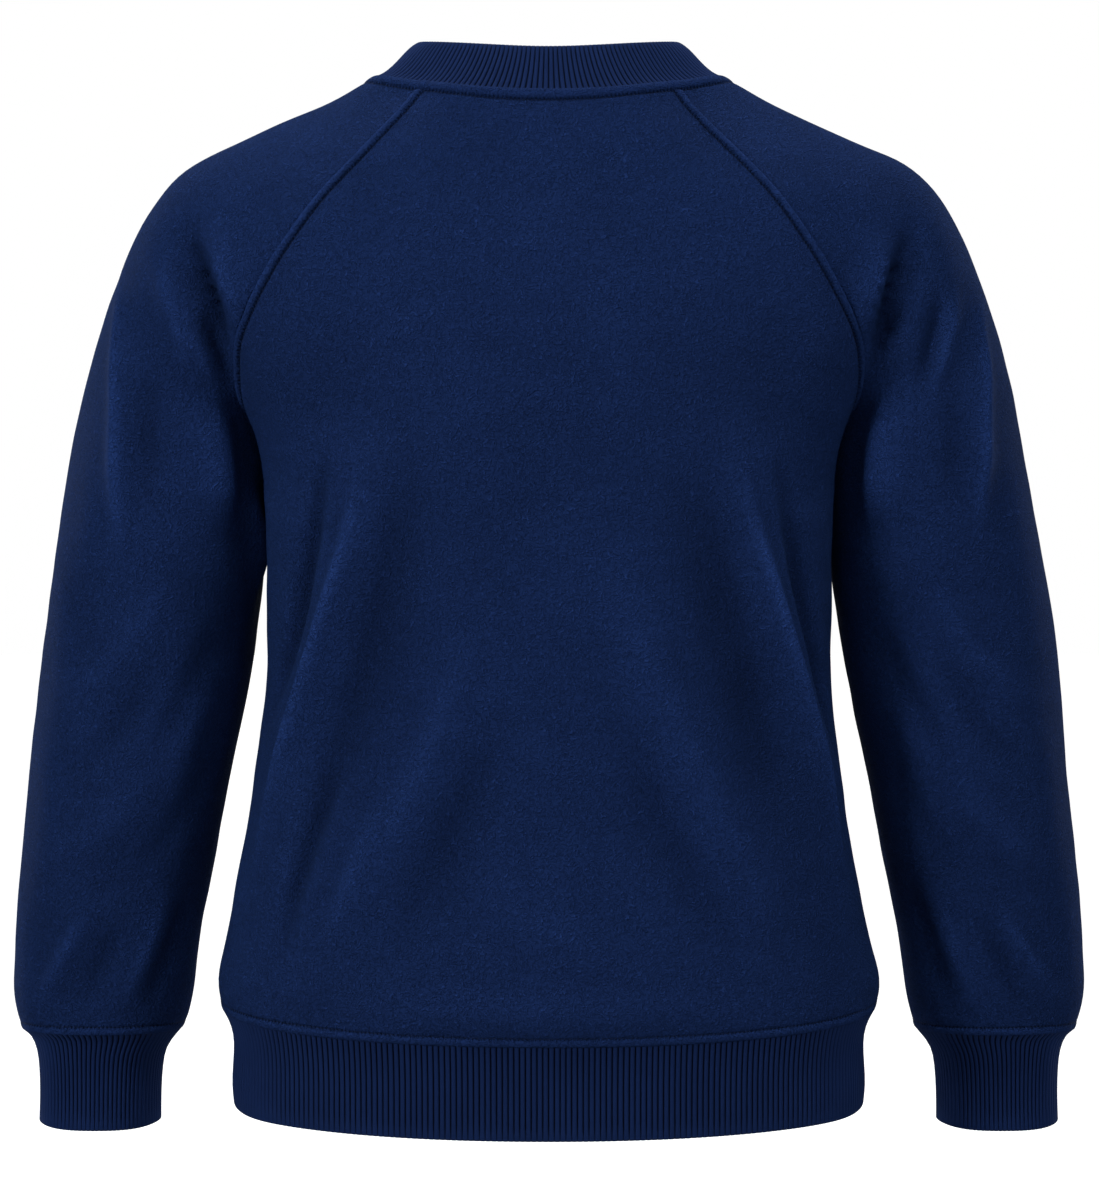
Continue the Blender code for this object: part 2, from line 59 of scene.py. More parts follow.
# how far the seam lies to the sleeve's side of the CAD part's line, by row
RAGLAN_SHIFT = (
    ("row", "shift"),
    (0.00, -0.2),
    (0.07, 0.8),
    (0.12, 3.0),
    (0.18, 4.3),
    (0.26, 3.6),
    (0.34, 1.8),
    (0.41, 1.5),
    (0.47, 2.2),
    (0.53, 4.8),
    (0.58, 7.4),
    (0.65, 8.0),
    (0.74, 6.2),
    (0.83, 3.2),
    (0.92, 0.7),
    (1.00, 0.0),
)
NECK_RIB_PITCH = 3.85
HEM_RIB_PITCH = 3.75
CUFF_RIB_PITCH = 3.4
RIB_DEPTH = 1.15
STITCH_PITCH = 2.7
STITCH_LENGTH = 2.0
THREAD_RADIUS = 0.34

MIDDLE_ROWS = 128
HALF_BODY_COLUMNS = 106
ARM_COLUMNS = 146

CAMERA_AWAY = 2200.0  # how far off the garment is seen, and at what height
EYE_HEIGHT = -353.6

UP = np.array([0.0, 0.0, 1.0])
FLIP = np.array([-1.0, 1.0, 1.0])

# -------------------------------------------------------- centre lines of the body
BACK_CENTRE = (
    ("row", "y", "z", "reach"),
    (0.00, 78.0, -16.5, 43.6),
    (0.12, 85.5, -40.0, 55.4),
    (0.25, 93.0, -71.0, 73.3),
    (0.45, 103.0, -121.0, 100.9),
    (0.65, 109.5, -170.0, 99.9),
    (0.85, 113.0, -215.5, 104.7),
    (1.00, 114.0, -250.0, 115.1),
    (1.30, 112.0, -325.0, 131.8),
    (1.60, 106.5, -400.0, 136.4),
    (1.90, 104.0, -475.0, 132.2),
    (2.20, 107.5, -551.0, 139.5),
    (2.42, 110.5, -606.0, 140.2),
    (2.57, 106.0, -642.3, 143.3),
)
FRONT_CENTRE = (
    ("row", "y", "z", "reach"),
    (0.00, 92.0, -76.0, 44.0),
    (0.12, 99.5, -93.0, 56.0),
    (0.25, 107.0, -115.0, 72.2),
    (0.45, 117.5, -152.0, 101.4),
    (0.65, 126.0, -188.0, 104.1),
    (0.85, 131.0, -225.0, 104.3),
    (1.00, 132.5, -254.0, 112.1),
    (1.30, 131.0, -325.0, 129.8),
    (1.60, 125.0, -400.0, 133.0),
    (1.90, 121.0, -475.0, 131.1),
    (2.20, 122.0, -550.0, 137.6),
    (2.42, 123.0, -604.0, 139.4),
    (2.57, 118.5, -639.0, 140.6),
)

# ------------------------------------- raglan seams, neck to underarm, one side
BACK_RAGLAN = (
    ("x", "y", "z"),
    (84.0, 52.0, -7.5),
    (102.5, 65.5, -34.5),
    (123.2, 76.0, -60.0),
    (154.7, 85.5, -94.0),
    (172.2, 86.0, -117.0),
    (189.0, 80.5, -146.0),
    (199.0, 66.0, -177.0),
    (200.5, 43.0, -206.0),
    (196.0, 13.0, -229.5),
    (190.0, -15.0, -240.0),
)
FRONT_RAGLAN = (
    ("x", "y", "z"),
    (82.0, 66.0, -39.0),
    (101.0, 78.0, -55.0),
    (122.0, 87.5, -75.0),
    (151.0, 95.5, -104.0),
    (168.0, 97.0, -125.0),
    (184.5, 94.0, -151.0),
    (195.0, 84.0, -180.0),
    (198.0, 67.0, -207.0),
    (195.5, 41.0, -230.0),
    (190.0, 15.0, -240.0),
)
# how a row of the body reaches its edge, and how a sleeve's row leaves it: heading in
# degrees from +X towards the middle of the depth, rise per mm, reach in mm
BODY_EDGE = (
    ("row", "heading", "rise", "reach"),
    (0.00, 36.0, 0.13, 27.0),
    (0.12, 31.0, 0.18, 27.0),
    (0.25, 26.0, 0.23, 26.0),
    (0.35, 26.0, 0.24, 27.0),
    (0.45, 32.0, 0.24, 34.0),
    (0.52, 40.5, 0.53, 48.6),
    (0.60, 54.9, 0.53, 57.3),
    (0.66, 67.4, 0.50, 62.6),
    (0.72, 77.8, 0.54, 70.0),
    (0.78, 85.7, 0.60, 78.4),
    (0.84, 92.6, 0.78, 87.0),
    (0.92, 99.2, 0.95, 97.1),
    (1.00, 100.1, 1.08, 101.9),
    (1.10, 100.6, 1.06, 101.3),
    (1.25, 98.6, 0.84, 99.5),
    (1.40, 93.6, 0.57, 98.1),
    (1.60, 90.0, 0.32, 94.7),
    (2.00, 90.0, 0.20, 84.7),
    (2.57, 90.0, 0.05, 82.2),
)
ARM_EDGE = (
    ("row", "heading", "rise", "reach"),
    (0.00, 36.0, 0.19, 28.0),
    (0.12, 31.0, 0.18, 34.0),
    (0.25, 26.0, 0.23, 40.0),
    (0.35, 25.0, 0.24, 45.0),
    (0.45, 21.0, 0.21, 51.0),
    (0.52, 10.5, 0.26, 52.3),
    (0.60, -8.6, 0.27, 56.0),
    (0.66, -24.2, 0.10, 61.4),
    (0.72, -39.6, -0.20, 68.1),
    (0.78, -53.7, -0.46, 77.5),
    (0.84, -62.6, -0.63, 87.3),
    (0.92, -68.8, -0.79, 98.2),
    (1.00, -71.0, -0.91, 104.0),
    (1.10, -73.0, -0.92, 107.0),
    (1.25, -78.5, -0.77, 106.0),
    (1.40, -85.0, -0.50, 103.9),
    (1.60, -90.0, -0.17, 103.0),
    (2.00, -90.0, -0.03, 96.5),
    (2.40, -90.0, 0.00, 84.0),
    (2.72, -90.0, 0.00, 63.8),
)

# --------------------------------- lines of a sleeve: outer arm, and inner arm
OUTER_ARM = (
    ("row", "x", "y", "z", "fall", "back", "front"),
    (0.00, 119.0, -2.0, 1.0, 0.06, 33.0, 36.0),
    (0.09, 144.0, -5.1, -12.4, 0.04, 39.5, 41.2),
    (0.20, 178.5, -7.9, -28.3, 0.02, 46.0, 47.6),
    (0.31, 212.5, -10.6, -42.0, 0.00, 52.2, 52.1),
    (0.39, 237.5, -13.1, -52.6, 0.00, 57.6, 57.7),
    (0.47, 258.5, -16.6, -67.5, 0.00, 59.9, 62.5),
    (0.555, 275.5, -21.1, -89.8, 0.00, 62.1, 63.4),
    (0.66, 290.5, -24.3, -121.5, 0.00, 69.7, 62.6),
    (0.80, 305.0, -21.3, -164.0, 0.00, 85.1, 74.5),
    (0.98, 319.0, -21.1, -214.0, 0.00, 89.2, 98.1),
    (1.10, 325.6, -26.0, -243.0, 0.00, 90.7, 102.2),
    (1.25, 332.7, -29.6, -280.0, 0.00, 97.9, 104.5),
    (1.42, 340.0, -31.5, -321.5, 0.00, 103.5, 105.8),
    (1.58, 346.0, -33.6, -361.5, 0.00, 101.5, 97.4),
    (1.74, 350.7, -35.7, -401.5, 0.00, 95.4, 94.1),
    (1.90, 355.0, -38.2, -441.5, 0.00, 91.6, 91.1),
    (2.08, 360.3, -41.6, -486.0, 0.00, 87.4, 86.8),
    (2.24, 365.0, -45.1, -526.0, 0.00, 82.8, 82.2),
    (2.40, 368.5, -48.8, -567.0, 0.00, 78.0, 76.2),
    (2.56, 371.2, -51.5, -608.0, 0.00, 71.2, 69.2),
    (2.65, 370.6, -51.9, -632.0, 0.00, 62.8, 64.3),
    (2.72, 365.4, -52.4, -649.7, 0.00, 56.3, 60.1),
)
INNER_ARM = (
    ("x", "y", "z"),
    (190.3, -15.0, -240.0),
    (191.2, -17.5, -254.0),
    (192.4, -21.5, -280.0),
    (193.9, -26.0, -312.0),
    (196.0, -31.0, -339.0),
    (199.4, -32.5, -359.0),
    (203.0, -34.0, -380.0),
    (210.4, -36.0, -421.0),
    (218.6, -39.0, -463.0),
    (226.3, -42.0, -505.0),
    (234.8, -46.0, -547.0),
    (243.5, -50.0, -589.0),
    (250.6, -53.5, -633.0),
    (255.5, -54.5, -649.7),
)
SIDE_SEAM = (
    ("x", "y", "z"),
    (190.0, -15.0, -240.0),
    (189.4, -15.0, -254.0),
    (189.6, -15.0, -280.0),
    (190.8, -14.5, -310.0),
    (192.0, -14.0, -335.0),
    (191.4, -12.0, -379.0),
    (192.5, -10.0, -421.0),
    (197.5, -8.5, -463.0),
    (203.5, -7.5, -504.0),
    (212.0, -6.5, -545.0),
    (219.6, -6.0, -586.0),
    (224.2, -6.0, -612.0),
    (221.8, -6.0, -628.0),
)

# ---------------------------------------------------------------------- rib pieces
# the neckband's folded edge, by the share of the half neck seam that it stands over,
# from the back centre to the front one, and how far the band flares there
NECK_EDGE = (
    ("share", "x", "y", "z", "flare"),
    (0.000, 0.0, 60.0, 14.6, 0.0),
    (0.135, 35.0, 53.5, 16.9, 0.1),
    (0.262, 65.5, 38.5, 20.9, 0.5),
    (0.360, 82.8, 17.5, 24.9, 0.9),
    (0.460, 89.4, -7.0, 27.0, 1.0),
    (0.580, 85.6, -32.0, 17.5, 0.8),
    (0.720, 65.5, -57.5, -9.5, 0.4),
    (0.860, 35.5, -73.0, -33.0, 0.1),
    (1.000, 0.0, -78.0, -42.0, 0.0),
)
# hem band: how far its section stands in from the hem seam, and its height below it
HEM_SECTION = (
    ("step", "side_in", "back_in", "side_down", "back_down"),
    (0.00, 0.0, 0.0, 0.0, 0.0),
    (0.12, 4.2, 3.4, 8.0, 7.0),
    (0.45, 7.6, 5.0, 30.0, 28.0),
    (0.80, 6.6, 4.0, 54.0, 50.0),
    (1.00, 7.8, 4.6, 67.5, 62.2),
)
CUFF_SECTION = (
    ("row", "x_in", "x_out", "z", "y", "half_depth"),
    (0.00, 255.5, 365.4, -649.9, -54.5, 42.0),
    (0.10, 259.6, 360.4, -655.0, -54.8, 38.5),
    (0.22, 264.8, 357.0, -662.5, -55.0, 36.0),
    (0.40, 268.4, 355.0, -674.0, -55.2, 34.4),
    (0.70, 270.2, 354.2, -697.0, -55.6, 33.8),
    (1.00, 270.4, 354.8, -719.5, -56.0, 34.0),
)


# ------------------------------------------------------------------ working tools
def columns(table):
    names, *rows = table
    return dict(zip(names, np.array(rows, float).T))


def spline(knots, values, slope_end=None, slope_start=None):
    """A cubic spline through the values, as a function; natural at an end with no slope."""
    knots, values = np.asarray(knots, float), np.asarray(values, float)
    n, h = len(knots), np.diff(knots)
    rise = np.diff(values) / h
    matrix, right = np.zeros((n, n)), np.zeros(n)
    matrix[0, 0] = matrix[-1, -1] = 1.0
    if slope_start is not None:
        matrix[0, :2] = 2 * h[0], h[0]
        right[0] = 6 * (rise[0] - slope_start)
    if slope_end is not None:
        matrix[-1, -2:] = h[-1], 2 * h[-1]
        right[-1] = 6 * (slope_end - rise[-1])
    for i in range(1, n - 1):
        matrix[i, i - 1 : i + 2] = h[i - 1], 2 * (h[i - 1] + h[i]), h[i]
        right[i] = 6 * (rise[i] - rise[i - 1])
    bend = np.linalg.solve(matrix, right)

    def at(x):
        x = np.asarray(x, float)
        i = np.clip(np.searchsorted(knots, x) - 1, 0, n - 2)
        a, b = knots[i + 1] - x, x - knots[i]
        return (
            (bend[i] * a**3 + bend[i + 1] * b**3) / (6 * h[i])
            + (values[i] / h[i] - bend[i] * h[i] / 6) * a
            + (values[i + 1] / h[i] - bend[i + 1] * h[i] / 6) * b
        )

    return at


def by_row(table):
    """The table's columns as splines over its row numbers."""
    c = columns(table)
    return {name: spline(c["row"], c[name]) for name in c if name != "row"}


def by_length(table, mirror_y=1.0):
    """A line through the table's points, as a function of the share of its length."""
    c = columns(table)
    points = np.stack([c["x"], mirror_y * c["y"], c["z"]], 1)
    run = np.concatenate([[0], np.cumsum(np.linalg.norm(np.diff(points, axis=0), axis=1))])
    run /= run[-1]
    x, y, z = (spline(run, points[:, k]) for k in range(3))
    return lambda s: np.stack([x(s), y(s), z(s)], -1)


def slowing(p, start):
    """0 to 1 at an even pace up to start, and then slowing to rest at 1."""
    return np.where(p < start, 2 * p / (1 + start), 1 - (1 - p) ** 2 / (1 - start**2))


def heading(degrees, rise, side):
    """Unit of plan length along a row: towards +X, and towards -Y on the back (side 1)."""
    a = np.radians(degrees)
    return np.stack([np.cos(a), -side * np.sin(a), rise], -1)


def mirrored(points):
    return points * np.array([-1.0, 1.0, 1.0])


def arc(p0, p1, p2, p3, share):
    """Points at these shares of the arc's length on the cubic arcs p0 p1 p2 p3 (rows x 3)."""
    t = np.linspace(0, 1, 97)

    def points(t):
        t = t[..., None]
        s = 1 - t
        return (
            s**3 * p0[:, None] + 3 * s * s * t * p1[:, None]
            + 3 * s * t * t * p2[:, None] + t**3 * p3[:, None]
        )

    dense = points(np.broadcast_to(t, (len(p0), len(t))))
    run = np.cumsum(np.linalg.norm(np.diff(dense, axis=1), axis=2), axis=1)
    run = np.concatenate([np.zeros((len(p0), 1)), run], 1)
    share = np.broadcast_to(share, (len(p0), np.shape(share)[-1]))
    at = np.stack([np.interp(share[i] * run[i, -1], run[i], t) for i in range(len(p0))])
    return points(at)


# ------------------------------------------------------------------ the garment's form
CENTRE = {1: by_row(BACK_CENTRE), -1: by_row(FRONT_CENTRE)}
RAGLAN = {1: by_length(BACK_RAGLAN), -1: by_length(FRONT_RAGLAN, -1.0)}
SIDE = by_length(SIDE_SEAM)
INNER = by_length(INNER_ARM)
OUTER = by_row(OUTER_ARM)
EDGE = by_row(BODY_EDGE)
LEAVES = by_row(ARM_EDGE)
SHIFT = by_row(RAGLAN_SHIFT)


def raglan_at(row, side):
    """The raglan seam, a little to the sleeve's side of the CAD part's, so its ridge is on it."""
    way = heading(LEAVES["heading"](np.minimum(row, 0.5)), LEAVES["rise"](np.minimum(row, 0.5)), side)
    shift = SHIFT["shift"](np.clip(row, 0, 1))[:, None] / np.linalg.norm(way, axis=1, keepdims=True)
    return RAGLAN[side](slowing(np.clip(row, 0, 1), SLOWS_AT)) + shift * way


def below_underarm(line, row, last):
    q = np.clip((row - UNDERARM_ROW) / (last - UNDERARM_ROW), 0, 1)
    return line(1 - slowing(1 - q, 1 - QUICKENS_AT))


def body_surface(row, share, side):
    """Points of the body, rows x shares, on the +X half: side 1 is the back, -1 the front."""
    row = np.asarray(row, float)[:, None] * np.ones(1)
    row = row[:, 0]
    edge = np.where(
        (row <= UNDERARM_ROW)[:, None],
        raglan_at(row, side),
        below_underarm(SIDE, row, HEM_ROW),
    )
    c = CENTRE[side]
    centre = np.stack([0 * row, side * c["y"](row), c["z"](row)], -1)
    out = centre + c["reach"](row)[:, None] * np.array([1.0, 0, 0])
    way = heading(EDGE["heading"](row), EDGE["rise"](row), side)
    back = edge - EDGE["reach"](row)[:, None] * way
    return arc(centre, out, back, edge, share)


def arm_surface(row, share):
    """Points of the +X sleeve: share 0 is its back edge, 0.5 the outer arm, 1 its front edge."""
    row, share = np.asarray(row, float), np.asarray(share, float)
    o = OUTER
    outer = np.stack([o["x"](row), o["y"](row), o["z"](row)], -1)
    over = np.stack([0 * row, -1 + 0 * row, -o["fall"](row)], -1)
    halves = []
    for side, reach in ((1, o["back"](row)), (-1, o["front"](row))):
        clear = np.clip((row - 0.6) / 0.4, 0, 1)[:, None] ** 2 * np.array([SEAM_GAP, 0, 0])
        edge = np.where(
            (row <= UNDERARM_ROW)[:, None],
            raglan_at(row, side) + clear,
            below_underarm(INNER, row, CUFF_ROW),
        )
        way = heading(LEAVES["heading"](row), LEAVES["rise"](row), side)
        first = edge + LEAVES["reach"](row)[:, None] * way
        last = outer - side * reach[:, None] * over
        halves.append((edge, first, last, outer))
    back = arc(*halves[0], np.clip(2 * share, 0, 1))
    front = arc(*halves[1][::-1], np.clip(2 * share - 1, 0, 1))
    return np.where((share < 0.5)[None, :, None], back, front)

# --------------------------------------------------------------- seams and edges
# height of a topstitched seam's cloth, by the distance from the seam over the
# distance of its stitching, and by the same for a seam with no stitching, in mm
STITCHED_SEAM = (
    ("from_seam", "height"),
    (0.00, -0.10),
    (0.05, 0.70),
    (0.14, 1.42),
    (0.28, 1.92),
    (0.46, 2.08),
    (0.66, 1.85),
    (0.81, 1.20),
    (0.90, 0.42),
    (0.96, -0.50),
    (1.01, -0.86),
    (1.07, -0.62),
    (1.18, -0.14),
    (1.34, 0.05),
    (1.80, 0.07),
    (2.40, 0.00),
)
PLAIN_SEAM = (
    ("from_seam", "height"),
    (0.00, -0.34),
    (0.50, -0.14),
    (1.00, 0.00),
    (2.00, 0.10),
    (3.50, 0.06),
    (6.00, 0.00),
)
NECK_STITCH = 8.2  # how far from each seam its stitching runs
RAGLAN_STITCH = 6.3
HEM_STITCH = 5.8
CUFF_STITCH = 5.6
NECK_BEAD = 0.9  # height of the bead along the neck, and along hem and cuffs
LAST_BEAD = 0.7

# steps of the grid away from a seam, in shares of the distance of its stitching
SEAM_STEPS = np.array([0.02, 0.09, 0.18, 0.30, 0.44, 0.58, 0.72, 0.82, 0.90, 0.96, 1.00, 1.05, 1.13, 1.25, 1.45, 1.80, 2.40])
PLAIN_STEPS = np.array([0.15, 0.45, 0.85, 1.4, 2.1, 3.2, 4.8, 7.0])


def section(table, key="from_seam", value="height"):
    """The table as a smooth function, level at both ends and flat past the last."""
    c = columns(table)
    smooth = spline(c[key], c[value], 0.0)
    return lambda d: np.where(d < c[key][-1], smooth(np.minimum(d, c[key][-1])), c[value][-1])


def smoothstep(x):
    x = np.clip(x, 0, 1)
    return x * x * (3 - 2 * x)


def lookup(grid, last_row):
    """A smooth function of row number and share through an even grid of points."""
    high, wide = grid.shape[0] - 1, grid.shape[1] - 1
    padded = np.pad(grid, ((1, 1), (1, 1), (0, 0)), mode="reflect", reflect_type="odd")

    def weights(t):
        return (
            0.5 * (-t + 2 * t**2 - t**3), 0.5 * (2 - 5 * t**2 + 3 * t**3),
            0.5 * (t + 4 * t**2 - 3 * t**3), 0.5 * (t**3 - t**2),
        )

    def at(row, share):
        row, share = np.broadcast_arrays(row, share)
        a, b = np.clip(row / last_row, 0, 1) * high, np.clip(share, 0, 1) * wide
        i, j = np.minimum(a.astype(int), high - 1), np.minimum(b.astype(int), wide - 1)
        down, over = weights(a - i), weights(b - j)
        return sum(
            (down[p] * over[q])[..., None] * padded[i + p, j + q] for p in range(4) for q in range(4)
        )

    return at


DENSE_ROWS = np.linspace(0, 1, 341)
BODY_SHARES = np.linspace(0, 1, 121)
ARM_SHARES = np.linspace(0, 1, 241)
DENSE = {
    "back": body_surface(DENSE_ROWS * HEM_ROW, BODY_SHARES, 1),
    "front": body_surface(DENSE_ROWS * HEM_ROW, BODY_SHARES, -1),
    "arm": arm_surface(DENSE_ROWS * CUFF_ROW, ARM_SHARES),
}
LAST = {"back": HEM_ROW, "front": HEM_ROW, "arm": CUFF_ROW}
FACING = {"back": 1.0, "front": -1.0, "arm": 1.0}
AT = {name: lookup(DENSE[name], LAST[name]) for name in DENSE}


def unit(v):
    return v / np.maximum(np.linalg.norm(v, axis=-1, keepdims=True), 1e-9)


def normals_at(name, row, share):
    at, last = AT[name], LAST[name]
    down = at(np.clip(row + 0.004, 0, last), share) - at(np.clip(row - 0.004, 0, last), share)
    over = at(row, np.clip(share + 0.004, 0, 1)) - at(row, np.clip(share - 0.004, 0, 1))
    return unit(FACING[name] * np.cross(over, down))


def row_pace(name, row, share, way):
    """Millimetres, square to the seam along this row, for each unit of row number."""
    at = AT[name]
    over = unit(at(row, np.clip(share + 0.01, 0, 1)) - at(row, np.clip(share - 0.01, 0, 1)))
    down = (at(row + way * 0.01, share) - at(row, share)) / 0.01
    return np.linalg.norm(np.cross(down, over), axis=-1)


def edge_pace(name, row, edge):
    """Millimetres, square to the seam at this edge, for each unit of share."""
    at, last = AT[name], LAST[name]
    along = unit(at(np.clip(row + 0.05, 0, last), edge) - at(np.clip(row - 0.05, 0, last), edge))
    inwards = edge + (0.02 if edge == 0 else -0.02)
    over = (at(row, inwards) - at(row, edge)) / 0.02
    length = np.linalg.norm(over, axis=-1)
    return np.maximum(np.linalg.norm(np.cross(over, along), axis=-1), 0.55 * length)


def fine_grid(name, edges, columns_between, last_stitch):
    """Row number and share of each place of a piece's fine grid, and how far it is
    from the neck seam, from the last seam and from its edges, in mm."""
    last = LAST[name]
    lead = 0.15
    edge_steps = np.concatenate([[lead], SEAM_STEPS[1:] * RAGLAN_STITCH]) if name != "arm" else PLAIN_STEPS
    rough = {e: edge_steps / edge_pace(name, np.array(0.25), float(e)) for e in edges}
    first = rough[0] if 0 in edges else np.zeros(1)
    between = np.linspace(first[-1], 1 - rough[1][-1], columns_between + 2)[1:-1]
    share = np.concatenate([first, between, 1 - rough[1][::-1]])
    top = np.concatenate([[lead], SEAM_STEPS[1:] * NECK_STITCH])
    bottom = np.concatenate([[lead], SEAM_STEPS[1:] * last_stitch])
    top_pace, bottom_pace = row_pace(name, 0.0, share, 1), row_pace(name, last, share, -1)
    upper = top[:, None] / top_pace
    lower = last - bottom[::-1, None] / bottom_pace
    middle = np.linspace(0, 1, MIDDLE_ROWS + 2)[1:-1, None]
    row = np.concatenate([upper, upper[-1] + middle * (lower[0] - upper[-1]), lower])
    pace = {e: edge_pace(name, row, float(e)) for e in edges}
    count = len(edge_steps)
    ends = {0: np.zeros(len(row)), 1: np.ones(len(row))}
    table = np.repeat(share[None], len(row), 0)
    if 0 in edges:
        table[:, :count] = edge_steps / pace[0][:, :count]
        ends[0] = table[:, count - 1]
    table[:, -count:] = 1 - edge_steps[::-1] / pace[1][:, -count:]
    ends[1] = table[:, -count]
    inner = slice(count if 0 in edges else 0, -count)
    span = (share[inner] - first[-1]) / (1 - rough[1][-1] - first[-1])
    if 0 not in edges:
        span = np.linspace(0, 1, len(span) + 1)[:-1]
    table[:, inner] = ends[0][:, None] + span * (ends[1] - ends[0])[:, None]
    from_edge = np.full(row.shape, 1e3)
    for e in edges:
        from_edge = np.minimum(from_edge, np.abs(e - table) * pace[e])
    return {
        "name": name, "row": row, "share": table, "from_neck": row * top_pace,
        "from_last": (last - row) * bottom_pace, "from_edge": from_edge,
        "edge_steps": count, "top_steps": len(top), "bottom_steps": len(bottom),
    }


def seam_heights(g, edge_stitch, last_stitch):
    """Height of the cloth along a piece's seams: ridges, stitch grooves and sunk joins."""
    stitched, plain = section(STITCHED_SEAM), section(PLAIN_SEAM)
    bend = np.abs(normals_at(g["name"], g["row"], g["share"])[..., 0])
    flatter = 1 - 0.72 * smoothstep((bend - 0.70) / 0.28)
    over_shoulder = 1 - 0.6 * np.exp(-(((g["share"] - 0.45) / 0.2) ** 2)) * (g["name"] == "arm")
    neck = NECK_BEAD * over_shoulder * stitched(g["from_neck"] / NECK_STITCH)
    last = LAST_BEAD * flatter * stitched(g["from_last"] / last_stitch)
    below = smoothstep((g["row"] - 0.90) / 0.10)
    if edge_stitch:
        edge = (1 - below) * stitched(g["from_edge"] / edge_stitch) + below * plain(g["from_edge"])
    else:
        edge = (1 - 0.25 * below) * plain(g["from_edge"])
    near_neck = smoothstep((NECK_STITCH * 1.2 - g["from_neck"]) / 2.0)
    near_last = smoothstep((last_stitch * 1.3 - g["from_last"]) / 2.0)
    return neck + last + edge * (1 - 0.62 * near_neck) * (1 - 0.6 * near_last)


def dimples(g, edge_stitch, last_stitch, outer):
    """How near each place is to a row of stitching, its place along it in stitches, and
    how much painted highlight lies on a raglan seam's bead, turning to painted shade by its stitching."""
    def along(line):
        run = np.concatenate([[0], np.cumsum(np.linalg.norm(np.diff(line, axis=0), axis=1))])
        return run / run[-1] * int(run[-1] / STITCH_PITCH)

    ways = [
        (g["from_neck"] / NECK_STITCH, np.broadcast_to(along(outer[10]), g["share"].shape)),
        (g["from_last"] / last_stitch, np.broadcast_to(along(outer[-11]), g["share"].shape)),
    ]
    if edge_stitch:
        ways.append((g["from_edge"] / edge_stitch, np.broadcast_to(along(outer[:, -11])[:, None], g["share"].shape)))
    away, place = (np.stack(v) for v in zip(*ways))
    nearest = away.argmin(0)[None]
    away, place = (np.take_along_axis(v, nearest, 0)[0] for v in (away, place))
    painted_bead_light_and_shade = np.zeros(away.shape)
    if edge_stitch:
        across = g["from_edge"] / edge_stitch
        clear = smoothstep((0.93 - g["row"]) / 0.10) * smoothstep((g["from_neck"] - NECK_STITCH) / 3.0)
        # painted highlight on the bead next to the raglan seam, painted shade towards its stitching
        painted_bead_light_and_shade = (0.62 - 0.98 * across) * smoothstep((1.02 - across) / 0.10) * clear
    return np.exp(-(((away - 0.98) / 0.11) ** 2)), place, painted_bead_light_and_shade


